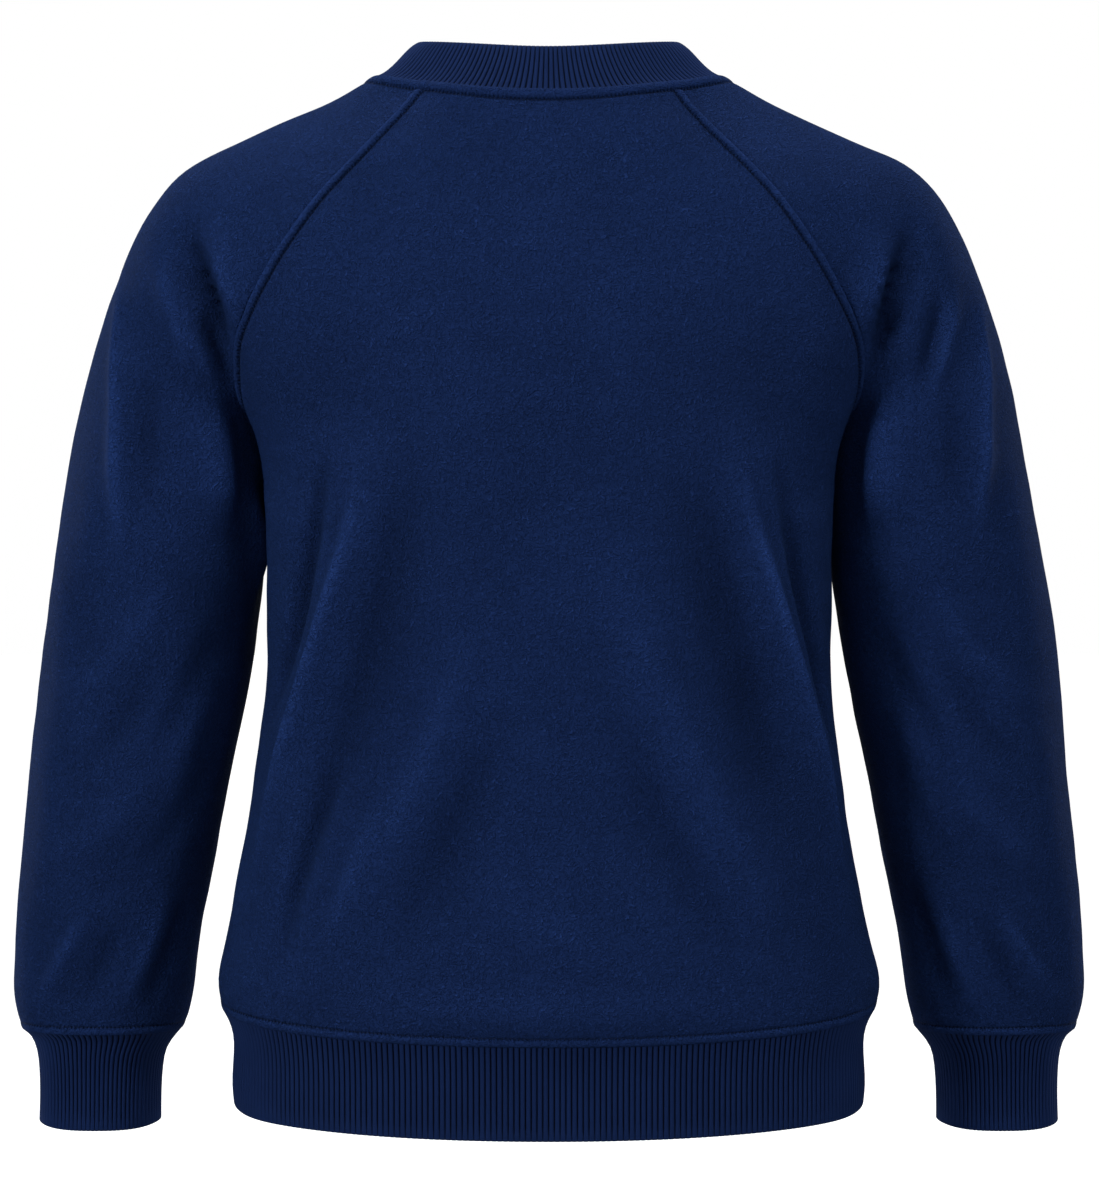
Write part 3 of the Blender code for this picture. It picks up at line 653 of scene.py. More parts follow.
# ------------------------------------------------------------------------- folds
# Each fold runs through places as seen from straight behind or in front of the
# garment at the camera's distance, or from beside it ("outer": depth and height).
# Height is out of the cloth; inner and outer are how far it takes to die away towards
# the middle of the garment and away from it; sharp is 2 for a soft fold and nearer 1
# for a crisp one.  Lengths are in mm.
FOLDS = (
    ("piece", "seen", "height", "inner", "outer", "sharp", "path"),
    # back: drag lines from the armpits to the hem's corners, and the hollows inside them
    ("body", "back", 12.0, 20.0, 10.0, 1.3, ((129.7, -236.6), (131.0, -282.2), (137.2, -307.4), (141.2, -329.1), (146.0, -346.1), (154.2, -377.4), (160.3, -399.2), (166.4, -419.6), (175.9, -450.8), (186.8, -484.8), (197.0, -522.2), (203.8, -556.2))),
    ("body", "back", 3.9, 8.0, 4.0, 1.4, ((131.0, -277.4), (137.2, -307.4), (141.2, -329.1), (146.0, -346.1), (154.2, -377.4), (160.3, -399.2), (166.4, -419.6), (175.9, -450.8), (186.1, -481.4))),
    ("body", "back", -6.8, 12.0, 14.0, 1.7, ((137.8, -444.0), (154.2, -491.6), (167.8, -532.4), (178.6, -573.2), (185.4, -607.2))),
    ("body", "back", 4.4, 11.0, 12.0, 1.6, ((109.3, -481.4), (125.6, -518.8), (139.2, -552.8), (154.2, -590.2))),
    ("body", "back", -8.5, 9.0, 12.0, 1.7, ((148.7, -236.6), (156.9, -284.2), (165.0, -331.8), (174.6, -379.4), (185.4, -420.2), (195.0, -454.2))),
    ("body", "back", -6.8, 34.0, 24.0, 1.9, ((93.0, -216.2), (98.4, -277.4), (109.3, -338.6), (122.9, -393.0), (139.2, -447.4), (161.0, -501.8), (180.0, -549.4))),
    ("body", "back", 12.2, 20.0, 10.0, 1.3, ((-128.7, -240.7), (-138.2, -297.8), (-150.5, -342.0), (-166.1, -403.2), (-182.4, -459.0), (-195.4, -512.0), (-206.2, -559.6))),
    ("body", "back", 2.9, 7.0, 5.0, 1.5, ((-137.6, -291.0), (-150.5, -342.0), (-166.1, -403.2), (-179.0, -447.4))),
    ("body", "back", -8.5, 9.0, 13.0, 1.7, ((-154.6, -236.6), (-160.0, -284.2), (-170.9, -338.6), (-181.8, -393.0), (-192.6, -447.4), (-202.2, -488.2))),
    ("body", "back", -7.0, 34.0, 24.0, 1.9, ((-100.2, -236.6), (-107.0, -291.0), (-120.6, -352.2), (-136.9, -413.4), (-153.2, -474.6), (-170.9, -535.8))),
    ("body", "back", 6.0, 26.0, 20.0, 1.8, ((42.6, -352.2), (57.6, -393.0), (73.9, -433.8), (88.9, -474.6), (107.9, -515.4), (133.8, -559.6), (161.0, -600.4))),
    ("body", "back", 6.0, 34.0, 26.0, 2.0, ((-33.5, -311.4), (-62.1, -386.2), (-96.1, -461.0), (-131.4, -532.4), (-165.4, -597.0))),
    ("body", "back", -4.4, 30.0, 22.0, 2.0, ((25.0, -413.4), (45.4, -471.2), (72.6, -529.0), (103.8, -586.8), (120.2, -617.4))),
    ("body", "back", -4.4, 30.0, 22.0, 2.0, ((-43.0, -433.8), (-72.3, -495.0), (-106.3, -559.6), (-143.7, -614.0))),
    ("body", "back", 2.3, 30.0, 30.0, 2.0, ((53.5, -508.6), (19.5, -559.6), (-28.1, -597.0), (-62.1, -617.4))),
    ("body", "back", 1.6, 34.0, 34.0, 2.0, ((101.1, -240.7), (133.8, -247.5), (165.7, -247.5), (199.7, -240.7))),
    ("body", "back", 1.6, 34.0, 34.0, 2.0, ((-102.9, -239.4), (-135.5, -246.2), (-167.5, -246.2), (-202.2, -239.4))),
    ("body", "back", 3.4, 20.0, 20.0, 2.0, ((148.7, -624.2), (80.7, -632.4), (-0.9, -635.8), (-82.5, -632.4), (-150.5, -623.6))),
    # sleeves from behind: the tuck beside the shoulder blade, and what hangs from it
    ("arm", "back", -15.0, 7.5, 14.0, 1.5, ((250.0, -85.7), (242.6, -111.5), (234.4, -136.7), (224.2, -167.3), (214.0, -197.2))),
    ("arm", "back", 7.2, 15.0, 6.0, 1.6, ((233.0, -95.2), (224.2, -125.1), (214.0, -153.7), (205.2, -178.8))),
    ("arm", "back", -15.0, 7.5, 14.0, 1.5, ((-251.8, -84.3), (-243.6, -111.5), (-234.1, -146.9), (-224.6, -177.5), (-216.4, -199.9))),
    ("arm", "back", 7.2, 15.0, 6.0, 1.6, ((-234.1, -97.2), (-224.6, -133.3), (-215.1, -160.5), (-208.3, -182.2))),
    ("arm", "back", -7.2, 8.0, 5.0, 1.4, ((243.9, -156.4), (229.6, -179.5), (211.3, -206.7))),
    ("arm", "back", 5.9, 7.0, 12.0, 1.6, ((253.4, -148.2), (239.8, -179.5), (222.2, -212.2))),
    ("arm", "back", -6.5, 8.0, 5.0, 1.4, ((-244.3, -156.4), (-232.1, -174.1), (-215.8, -195.8))),
    ("arm", "back", -5.9, 9.0, 6.0, 1.5, ((-269.5, -138.0), (-260.0, -178.8), (-247.0, -219.6))),
    ("arm", "back", 5.9, 8.0, 12.0, 1.7, ((-279.7, -134.6), (-270.2, -178.8), (-256.6, -224.4))),
    ("arm", "back", 5.9, 8.0, 15.0, 1.6, ((269.8, -104.0), (259.6, -140.1), (249.4, -177.5), (237.1, -219.6))),
    ("arm", "back", 7.8, 11.0, 11.0, 1.4, ((290.2, -114.2), (293.6, -168.6), (293.6, -236.6), (292.9, -297.8), (288.8, -345.4))),
    ("arm", "back", 7.3, 11.0, 11.0, 1.4, ((-292.6, -127.8), (-296.0, -182.2), (-296.0, -250.2), (-291.9, -325.0))),
    ("arm", "back", -4.2, 18.0, 14.0, 1.9, ((271.1, -168.6), (272.5, -236.6), (271.1, -297.8))),
    ("arm", "back", -3.9, 18.0, 14.0, 1.9, ((-272.9, -182.2), (-275.6, -243.4), (-272.9, -304.6))),
    ("arm", "back", 9.1, 16.0, 28.0, 2.0, ((233.0, -197.2), (226.2, -236.6), (222.2, -270.6), (220.8, -314.8))),
    ("arm", "back", 8.3, 16.0, 18.0, 2.0, ((205.8, -263.8), (200.4, -297.8), (197.7, -325.0), (199.0, -359.0))),
    ("arm", "back", 9.1, 16.0, 28.0, 2.0, ((-234.1, -198.6), (-228.0, -236.6), (-223.9, -270.6), (-221.2, -314.8))),
    # elbows and forearms
    ("arm", "back", 2.9, 18.0, 16.0, 1.9, ((253.4, -325.0), (284.7, -379.4), (317.4, -413.4), (345.9, -431.1))),
    ("arm", "back", -2.7, 18.0, 16.0, 1.9, ((256.2, -379.4), (286.1, -431.1), (318.7, -462.4), (345.9, -481.4))),
    ("arm", "back", 2.5, 20.0, 18.0, 1.9, ((260.9, -447.4), (291.5, -496.4), (325.5, -523.6), (354.1, -541.3))),
    ("arm", "back", 2.7, 18.0, 16.0, 1.9, ((-255.9, -331.8), (-286.5, -384.9), (-319.1, -414.8), (-347.7, -431.1))),
    ("arm", "back", -2.6, 18.0, 16.0, 1.9, ((-262.7, -386.2), (-290.6, -435.2), (-323.2, -466.5), (-350.4, -482.8))),
    ("arm", "back", 2.5, 20.0, 18.0, 1.9, ((-266.1, -452.9), (-294.6, -500.5), (-327.3, -527.7), (-355.8, -544.0))),
    ("arm", "back", -2.1, 18.0, 14.0, 1.9, ((222.8, -359.0), (238.5, -399.8), (261.6, -440.6), (277.9, -464.4))),
    ("arm", "back", -2.1, 18.0, 14.0, 1.9, ((229.0, -447.4), (245.3, -488.2), (269.8, -527.7), (290.2, -556.2))),
    ("arm", "back", -2.1, 18.0, 14.0, 1.9, ((-225.3, -360.4), (-240.2, -401.2), (-263.4, -442.0), (-279.7, -464.4))),
    ("arm", "back", -2.0, 18.0, 14.0, 1.9, ((-232.1, -448.8), (-248.4, -489.6), (-271.5, -529.0), (-291.9, -556.2))),
    ("arm", "back", 2.1, 18.0, 16.0, 2.0, ((229.0, -406.6), (246.6, -447.4), (271.1, -488.2))),
    ("arm", "back", 2.0, 18.0, 16.0, 2.0, ((-233.4, -413.4), (-251.1, -452.9), (-274.2, -491.0))),
    # blousing above the cuffs
    ("arm", "back", 5.7, 11.0, 9.0, 1.4, ((310.6, -559.6), (328.2, -590.2), (341.2, -614.0), (352.7, -632.4))),
    ("arm", "back", -3.4, 12.0, 12.0, 1.8, ((287.4, -566.4), (306.5, -605.2), (322.8, -639.2))),
    ("arm", "back", 3.5, 14.0, 12.0, 1.8, ((256.2, -542.6), (271.1, -586.8), (287.4, -624.2), (297.0, -640.6))),
    ("arm", "back", -2.9, 14.0, 12.0, 1.8, ((239.8, -535.8), (253.4, -576.6), (269.8, -614.0), (282.0, -636.5))),
    ("arm", "back", 4.2, 14.0, 9.0, 1.7, ((-302.8, -556.2), (-324.6, -591.6), (-342.2, -613.4), (-358.6, -629.7))),
    ("arm", "back", -3.4, 12.0, 12.0, 1.8, ((-289.2, -564.4), (-308.2, -602.5), (-327.3, -637.8))),
    ("arm", "back", 3.4, 14.0, 12.0, 1.8, ((-259.3, -542.6), (-274.2, -586.8), (-290.6, -624.2), (-300.1, -640.6))),
    ("arm", "back", -2.9, 14.0, 12.0, 1.8, ((-243.0, -533.1), (-256.6, -576.6), (-272.9, -614.7), (-285.1, -636.5))),
    # front, which hangs as the back does but not fold for fold
    ("body", "front", 6.8, 17.0, 10.0, 1.4, ((112.0, -212.0), (133.0, -262.0), (150.0, -335.0), (171.0, -405.0), (190.0, -462.0))),
    ("body", "front", 6.2, 17.0, 10.0, 1.4, ((-118.0, -220.0), (-136.0, -268.0), (-150.0, -330.0), (-168.0, -400.0), (-192.0, -470.0))),
    ("body", "front", -5.0, 26.0, 16.0, 1.9, ((112.0, -330.0), (126.0, -395.0), (142.0, -450.0))),
    ("body", "front", -5.2, 26.0, 16.0, 1.9, ((-104.0, -340.0), (-124.0, -410.0), (-150.0, -480.0))),
    ("body", "front", 5.5, 28.0, 22.0, 2.0, ((30.0, -390.0), (78.0, -480.0), (128.0, -560.0), (170.0, -602.0))),
    ("body", "front", 5.0, 28.0, 22.0, 2.0, ((-48.0, -420.0), (-96.0, -505.0), (-150.0, -590.0))),
    ("body", "front", -4.2, 24.0, 20.0, 2.0, ((36.0, -490.0), (82.0, -560.0), (122.0, -606.0))),
    ("body", "front", -3.8, 24.0, 20.0, 2.0, ((-66.0, -510.0), (-110.0, -580.0), (-140.0, -610.0))),
    ("body", "front", -3.5, 18.0, 18.0, 2.0, ((160.0, -170.0), (166.0, -215.0), (160.0, -262.0))),
    ("body", "front", -3.5, 18.0, 18.0, 2.0, ((-158.0, -165.0), (-168.0, -215.0), (-163.0, -268.0))),
    ("body", "front", 2.5, 26.0, 26.0, 2.0, ((-70.0, -150.0), (-20.0, -175.0), (40.0, -172.0), (85.0, -150.0))),
    ("body", "front", -2.2, 22.0, 22.0, 2.0, ((-60.0, -196.0), (-5.0, -212.0), (62.0, -200.0))),
    ("arm", "front", -7.0, 6.0, 13.0, 1.5, ((238.0, -118.0), (230.0, -150.0), (219.0, -182.0), (210.0, -210.0))),
    ("arm", "front", 4.5, 12.0, 7.0, 1.6, ((222.0, -110.0), (213.0, -150.0), (203.0, -184.0))),
    ("arm", "front", -7.0, 6.0, 13.0, 1.5, ((-236.0, -112.0), (-229.0, -146.0), (-218.0, -180.0), (-210.0, -212.0))),
    ("arm", "front", 4.5, 12.0, 7.0, 1.6, ((-220.0, -108.0), (-212.0, -148.0), (-203.0, -186.0))),
    ("arm", "front", 4.2, 12.0, 14.0, 1.7, ((266.0, -140.0), (258.0, -180.0), (246.0, -220.0))),
    ("arm", "front", 4.2, 12.0, 14.0, 1.7, ((-268.0, -150.0), (-258.0, -190.0), (-248.0, -226.0))),
    ("arm", "front", 4.5, 16.0, 13.0, 1.7, ((296.0, -170.0), (303.0, -230.0), (306.0, -300.0))),
    ("arm", "front", 4.2, 16.0, 13.0, 1.7, ((-300.0, -190.0), (-304.0, -250.0), (-305.0, -310.0))),
    ("arm", "front", -6.2, 12.0, 11.0, 1.6, ((216.0, -392.0), (244.0, -402.0), (276.0, -398.0))),
    ("arm", "front", 5.0, 12.0, 11.0, 1.7, ((222.0, -424.0), (250.0, -430.0), (290.0, -420.0))),
    ("arm", "front", -5.5, 12.0, 11.0, 1.6, ((226.0, -450.0), (262.0, -460.0), (300.0, -452.0))),
    ("arm", "front", -6.0, 12.0, 11.0, 1.6, ((-214.0, -384.0), (-242.0, -396.0), (-272.0, -396.0))),
    ("arm", "front", 5.0, 12.0, 11.0, 1.7, ((-221.0, -416.0), (-252.0, -426.0), (-294.0, -418.0))),
    ("arm", "front", -5.5, 12.0, 11.0, 1.6, ((-228.0, -456.0), (-258.0, -464.0), (-296.0, -458.0))),
    ("arm", "front", 4.2, 14.0, 12.0, 1.8, ((240.0, -500.0), (276.0, -520.0), (318.0, -524.0))),
    ("arm", "front", 4.0, 14.0, 12.0, 1.8, ((-238.0, -494.0), (-280.0, -516.0), (-322.0, -526.0))),
    ("arm", "front", 5.2, 12.0, 9.0, 1.6, ((300.0, -572.0), (330.0, -596.0), (355.0, -622.0))),
    ("arm", "front", -4.8, 12.0, 10.0, 1.7, ((282.0, -580.0), (304.0, -606.0), (318.0, -630.0))),
    ("arm", "front", -4.8, 12.0, 11.0, 1.7, ((252.0, -570.0), (266.0, -602.0), (278.0, -632.0))),
    ("arm", "front", 5.2, 12.0, 9.0, 1.6, ((-298.0, -568.0), (-332.0, -598.0), (-356.0, -626.0))),
    ("arm", "front", -4.8, 12.0, 10.0, 1.7, ((-280.0, -584.0), (-302.0, -610.0), (-316.0, -632.0))),
    ("arm", "front", -4.8, 12.0, 11.0, 1.7, ((-254.0, -574.0), (-264.0, -604.0), (-276.0, -634.0))),
)


def seen_plane(points, seen):
    """Where points stand in the view that a fold's path is written in."""
    if seen == "outer":
        return points[..., 1:]
    away = 1 - points[..., 1] / CAMERA_AWAY * (1 if seen == "back" else -1)
    return np.stack([points[..., 0] / away, (points[..., 2] - EYE_HEIGHT) / away + EYE_HEIGHT], -1)


def cloud(names, flips):
    """Points of the plain cloth and their normals, for laying folds on."""
    found = []
    for name in names:
        row, share = np.meshgrid(DENSE_ROWS[::2] * LAST[name], np.linspace(0, 1, DENSE[name].shape[1]), indexing="ij")
        both = np.concatenate([AT[name](row, share), normals_at(name, row, share)], -1).reshape(-1, 6)
        found += [both * np.tile(flip, 2) for flip in flips]
    return np.concatenate(found)


CLOTH = {
    ("body", 1): cloud(("back", "front"), (FLIP**2, FLIP)),
    ("arm", 1): cloud(("arm",), (FLIP**2,)),
    ("arm", -1): cloud(("arm",), (FLIP,)),
}


def fold_line(cloth, seen, path, steps=49):
    """A fold's path laid on the cloth, as points and normals."""
    path = np.array(path, float)
    run = np.concatenate([[0], np.cumsum(np.linalg.norm(np.diff(path, axis=0), axis=1))])
    t = np.linspace(0, run[-1], steps)
    wanted = np.stack([spline(run, path[:, k])(t) for k in (0, 1)], 1)
    facing = {"back": cloth[:, 4], "front": -cloth[:, 4], "outer": np.abs(cloth[:, 3])}[seen]
    cloth = cloth[facing > 0.10]
    flat = seen_plane(cloth[:, :3], seen)
    nearest = np.array([np.argmin(((flat - w) ** 2).sum(1)) for w in wanted])
    laid = cloth[nearest]
    knots = np.linspace(0, 1, 7)
    sample = np.linspace(0, 1, steps)
    basis = np.stack([spline(knots, np.eye(7)[k])(sample) for k in range(7)], 1)
    soft = basis @ np.linalg.lstsq(basis, laid, rcond=None)[0]
    return soft[:, :3], unit(soft[:, 3:])


def laid_folds():
    names, *rows = FOLDS
    laid = []
    for values in rows:
        f = dict(zip(names, values))
        half = -1 if f["piece"] == "arm" and np.array(f["path"])[:, 0].mean() < 0 else 1
        line, up = fold_line(CLOTH[f["piece"], half], f["seen"], f["path"])
        laid.append((f, half, line, up))
    return laid


LAID = laid_folds()


def nearest_on_line(points, line):
    """Place along the line, in steps, and the nearest point of it, for each point."""
    k = np.linalg.norm(points[:, None] - line[None], axis=2).argmin(1)
    best, place, spot = np.full(len(points), 1e9), np.zeros(len(points)), points.copy()
    for first in (np.maximum(k - 1, 0), np.minimum(k, len(line) - 2)):
        a, along = line[first], line[first + 1] - line[first]
        t = np.clip(((points - a) * along).sum(1) / (along**2).sum(1), 0, 1)
        on = a + t[:, None] * along
        away = np.linalg.norm(points - on, axis=1)
        better = away < best
        best, place = np.where(better, away, best), np.where(better, first + t, place)
        spot = np.where(better[:, None], on, spot)
    return place, spot, best


def fold_heights(points, normals, piece, half):
    """Height of all the folds of a piece at its points; half is -1 for the right sleeve."""
    total = np.zeros(len(points))
    for f, on_half, line, up in LAID:
        if f["piece"] != piece or half != on_half:
            continue
        reach = 2.6 * max(f["inner"], f["outer"])
        near = np.all((points > line.min(0) - reach) & (points < line.max(0) + reach), axis=1)
        if not near.any():
            continue
        place, spot, away = nearest_on_line(points[near], line)
        steps = np.arange(len(line))
        upward = unit(np.stack([np.interp(place, steps, up[:, k]) for k in range(3)], 1))
        across = np.cross(np.gradient(line, axis=0), up)
        across *= np.sign((across[:, 0] * line[:, 0]).sum())
        across = unit(np.stack([np.interp(place, steps, across[:, k]) for k in range(3)], 1))
        t = place / steps[-1]
        ends = smoothstep(t / 0.42) * smoothstep((1 - t) / 0.42)
        same_side = smoothstep((normals[near] * upward).sum(1) / 0.5 + 0.2)
        outwards = ((points[near] - spot) * across).sum(1)
        blend = smoothstep(0.5 + 0.5 * outwards / (0.25 * (f["inner"] + f["outer"])))
        u = away / (0.66 * (f["inner"] * (1 - blend) + f["outer"] * blend))
        shape = np.exp(-((u**2 + 0.03) ** (f["sharp"] / 2)) + 0.03 ** (f["sharp"] / 2))
        total[near] += f["height"] * ends * shape * same_side
    return total


def painted_fold_light_and_shade(folds):
    """Painted highlight along a ridge of the folds, most on a crisp one, and painted
    shade in a hollow.  Crisp is how far the cloth stands over its neighbours on either side."""
    wide = np.pad(folds, ((0, 0), (3, 3)), mode="edge")
    crisp = folds - 0.5 * (wide[:, :-6] + wide[:, 6:])
    return 1 + 0.42 * np.tanh(folds / 9.0) + 0.075 * np.clip(crisp, -1.0, 6.0)


def unevenness(points):
    """Slow, slight unevenness of hung cloth, the same on both sides of a seam."""
    dice = np.random.default_rng(11)
    total = np.zeros(len(points))
    for length, height, count in ((170.0, 0.55, 10), (80.0, 0.42, 14), (36.0, 0.14, 16)):
        for _ in range(count):
            way = unit(dice.normal(size=3) * np.array([1.0, 1.0, 0.7]))
            turn = 2 * math.pi / (length * dice.uniform(0.75, 1.3))
            total += height * math.sqrt(2 / count) * np.sin(points @ way * turn + dice.uniform(0, 6.28))
    return total


# -------------------------------------------------------------------- mesh making
def compressed(name, verts, faces, loops_uv, slots, marks, materials):
    """A mesh of quads with only the vertices that its faces use."""
    tri = np.concatenate([faces[:, [0, 1, 2]], faces[:, [0, 2, 3]]])
    if np.linalg.det(verts[tri] * 0.01).sum() < 0:
        faces, loops_uv = faces[:, ::-1], loops_uv[:, ::-1]
    used, faces = np.unique(faces, return_inverse=True)
    faces = faces.reshape(-1, 4)
    mesh = bpy.data.meshes.new(name)
    mesh.from_pydata((verts[used] * MM).tolist(), [], faces.tolist())
    uv = mesh.uv_layers.new(name="cloth")
    uv.data.foreach_set("uv", (loops_uv.reshape(-1, 2) * MM).ravel())
    for key, values in marks.items():
        mark = mesh.attributes.new(key, "FLOAT", "POINT")
        mark.data.foreach_set("value", values.ravel()[used].astype(np.float32))
    for m in materials:
        mesh.materials.append(m)
    mesh.polygons.foreach_set("material_index", slots.astype(np.int32))
    mesh.shade_smooth()
    mesh.set_sharp_from_angle(angle=math.radians(62))
    obj = bpy.data.objects.new(name, mesh)
    bpy.context.scene.collection.objects.link(obj)
    return obj


def shell(name, outer, inner, number, uv, heights, folds, stitched, materials):
    """A closed thin shell between two grids of points, with a rim at its free edges."""
    count = outer.shape[0] * outer.shape[1]
    place = np.arange(count).reshape(outer.shape[:2])

    def corners(grid):
        return np.stack([grid[:-1, :-1], grid[1:, :-1], grid[1:, 1:], grid[:-1, 1:]], -1).reshape(-1, 4)

    quads, places = corners(number), corners(place)
    flat_uv = uv.reshape(-1, 2)
    edges = np.concatenate([quads[:, [k, (k + 1) % 4]] for k in range(4)])
    code, back = edges[:, 0] * count + edges[:, 1], edges[:, 1] * count + edges[:, 0]
    rim = edges[~np.isin(back, code)]
    band = np.stack([rim[:, 1], rim[:, 0], rim[:, 0] + count, rim[:, 1] + count], 1)
    faces = np.concatenate([quads, quads[:, ::-1] + count, band])
    loops = np.concatenate([flat_uv[places], flat_uv[places[:, ::-1]], flat_uv[band % count]])
    slots = np.concatenate([np.zeros(len(quads)), np.ones(len(quads)), np.zeros(len(band))])
    verts = np.concatenate([outer.reshape(-1, 3), inner.reshape(-1, 3)])
    nothing = np.zeros(count)
    marks = {
        # how deep the cloth sinks at seams and stitching, for painted shade there
        "painted_groove_shade": np.concatenate([np.clip(-heights.ravel(), 0, 1), nothing]),
        # where the seam beads stand up, for their painted highlight
        "ridge": np.concatenate([np.clip(heights.ravel() / 1.6, 0, 1), nothing]),
        # painted highlight on fold ridges and painted shade in fold hollows, outer face only
        "painted_fold_tone": np.concatenate([painted_fold_light_and_shade(folds).ravel(), nothing + 1]),
        "stitching": np.concatenate([stitched[0].ravel(), nothing]),
        "stitch": np.concatenate([stitched[1].ravel(), nothing]),
        # painted highlight and shade along the raglan beads, outer face only
        "painted_bead_light_and_shade": np.concatenate([stitched[2].ravel(), nothing]),
    }
    return compressed(name, verts, faces, loops, slots, marks, materials)


def full_width(half):
    """A body panel's whole grid from its +X half."""
    flip = FLIP if half.ndim == 3 else 1.0
    return np.concatenate([half[:, :0:-1] * flip, half], 1)


def cloth_uv(points):
    """Distance across and down a grid of points, in mm."""
    across = np.concatenate([np.zeros((len(points), 1)), np.linalg.norm(np.diff(points, axis=1), axis=2).cumsum(1)], 1)
    down = np.concatenate([np.zeros((1, points.shape[1])), np.linalg.norm(np.diff(points, axis=0), axis=2).cumsum(0)])
    return np.stack([across - across[:, across.shape[1] // 2, None], -down], -1)


def body_panel(name, node, side_name, materials):
    g = fine_grid(side_name, (1,), HALF_BODY_COLUMNS, HEM_STITCH)
    base, normal = AT[side_name](g["row"], g["share"]), normals_at(side_name, g["row"], g["share"])
    heights = seam_heights(g, RAGLAN_STITCH, HEM_STITCH)
    stitched = [full_width(v) for v in dimples(g, RAGLAN_STITCH, HEM_STITCH, base)]
    base, normal, heights = full_width(base), full_width(normal), full_width(heights)
    flat, flat_normal = base.reshape(-1, 3), normal.reshape(-1, 3)
    folds = (fold_heights(flat, flat_normal, "body", 1) + unevenness(flat)).reshape(heights.shape)
    quiet = full_width(np.minimum(smoothstep(g["from_neck"] / 24), smoothstep(g["from_last"] / 14 + 0.15)))
    folds *= quiet
    outer = base + (folds + heights)[..., None] * normal
    inner = base + (folds - FLEECE)[..., None] * normal
    obj = shell(name, outer, inner, np.arange(heights.size).reshape(heights.shape), cloth_uv(base), heights, folds, stitched, materials)
    stitch_row, stitch_col = 10, g["edge_steps"] - 11
    raglan_rows = np.flatnonzero((g["from_neck"][:, -1] > NECK_STITCH * 1.1) & (g["row"][:, -1] < 0.93))
    lines = [
        (outer[stitch_row], normal[stitch_row]),
        (outer[-1 - stitch_row], normal[-1 - stitch_row]),
        (outer[raglan_rows, -1 - 10], normal[raglan_rows, -1 - 10]),
        (outer[raglan_rows, 10], normal[raglan_rows, 10]),
    ]
    return obj, lines


def sleeve(name, mirror, materials):
    g = fine_grid("arm", (0, 1), ARM_COLUMNS, CUFF_STITCH)
    base, normal = AT["arm"](g["row"], g["share"]), normals_at("arm", g["row"], g["share"])
    heights = seam_heights(g, None, CUFF_STITCH)
    joined = g["row"][:, 0] > UNDERARM_ROW + 0.004
    for grid in (base, normal):
        grid[joined, 0] = grid[joined, -1] = 0.5 * (grid[joined, 0] + grid[joined, -1])
    normal = unit(normal)
    if mirror:
        base, normal = base * FLIP, normal * FLIP
    flat, flat_normal = base.reshape(-1, 3), normal.reshape(-1, 3)
    folds = fold_heights(flat, flat_normal, "arm", -1 if mirror else 1) + unevenness(flat)
    folds = folds.reshape(heights.shape)
    quiet = np.minimum(smoothstep(g["from_neck"] / 24), smoothstep(g["from_last"] / 14 + 0.12))
    folds *= quiet
    folds[joined, 0] = folds[joined, -1] = 0.5 * (folds[joined, 0] + folds[joined, -1])
    heights[joined, 0] = heights[joined, -1]
    outer = base + (folds + heights)[..., None] * normal
    inner = base + (folds - FLEECE)[..., None] * normal
    number = np.arange(heights.size).reshape(heights.shape)
    closes = int(np.argmax(joined))
    number[closes:, -1] = number[closes:, 0]
    stitched = dimples(g, None, CUFF_STITCH, outer)
    obj = shell(name, outer, inner, number, cloth_uv(base), heights, folds, stitched, materials)
    stitch_row = 10
    last = np.concatenate([outer[-1 - stitch_row, :-1], outer[-1 - stitch_row, :1]])
    last_normal = np.concatenate([normal[-1 - stitch_row, :-1], normal[-1 - stitch_row, :1]])
    return obj, [(outer[stitch_row], normal[stitch_row]), (last, last_normal)]


# --------------------------------------------------------------------- rib pieces
# how far the cloth sinks across one rib, by the share of its pitch from a groove
RIB_SECTION = (
    ("share", "sunk"),
    (0.00, 1.00),
    (0.08, 0.74),
    (0.18, 0.16),
    (0.50, 0.00),
    (0.82, 0.16),
    (0.92, 0.74),
)


def half_ring(lines):
    """Points and normals of half a seam ring, back centre to front centre."""
    return np.concatenate([lines[0], *[line[1:] for line in lines[1:]]])


def seam_line(name, row, shares):
    row = np.full(shares.shape, float(row))
    return np.concatenate([AT[name](row, shares), normals_at(name, row, shares)], 1)


def half_shares(ring):
    run = np.concatenate([[0], np.cumsum(np.linalg.norm(np.diff(ring, axis=0), axis=1))])
    return run / run[-1]


def rib_places(length, pitch):
    """Shares of a half ring where the columns of its ribs stand, and how sunk each is."""
    ribs = 2 * round(length / pitch / 2)
    c = columns(RIB_SECTION)
    places = (np.arange(ribs)[:, None] + c["share"][None]).ravel() / ribs
    sunk = np.tile(c["sunk"], ribs)
    return np.append(places, 1.0), np.append(sunk, 1.0)


def resampled(ring, places):
    """A ring's points and normals at these shares of its length."""
    run = half_shares(ring[:, :3])
    keep = np.append(np.diff(run) > 1e-7, True)
    coarse = np.linspace(0, 1, 180)
    out = [spline(coarse, np.interp(coarse, run[keep], ring[keep, k]))(places) for k in range(6)]
    return np.stack(out, 1)


def whole(half):
    """A closed ring's grid, steps x points, from its +X half."""
    return np.concatenate([half, half[:, -2:0:-1] * FLIP], 1)


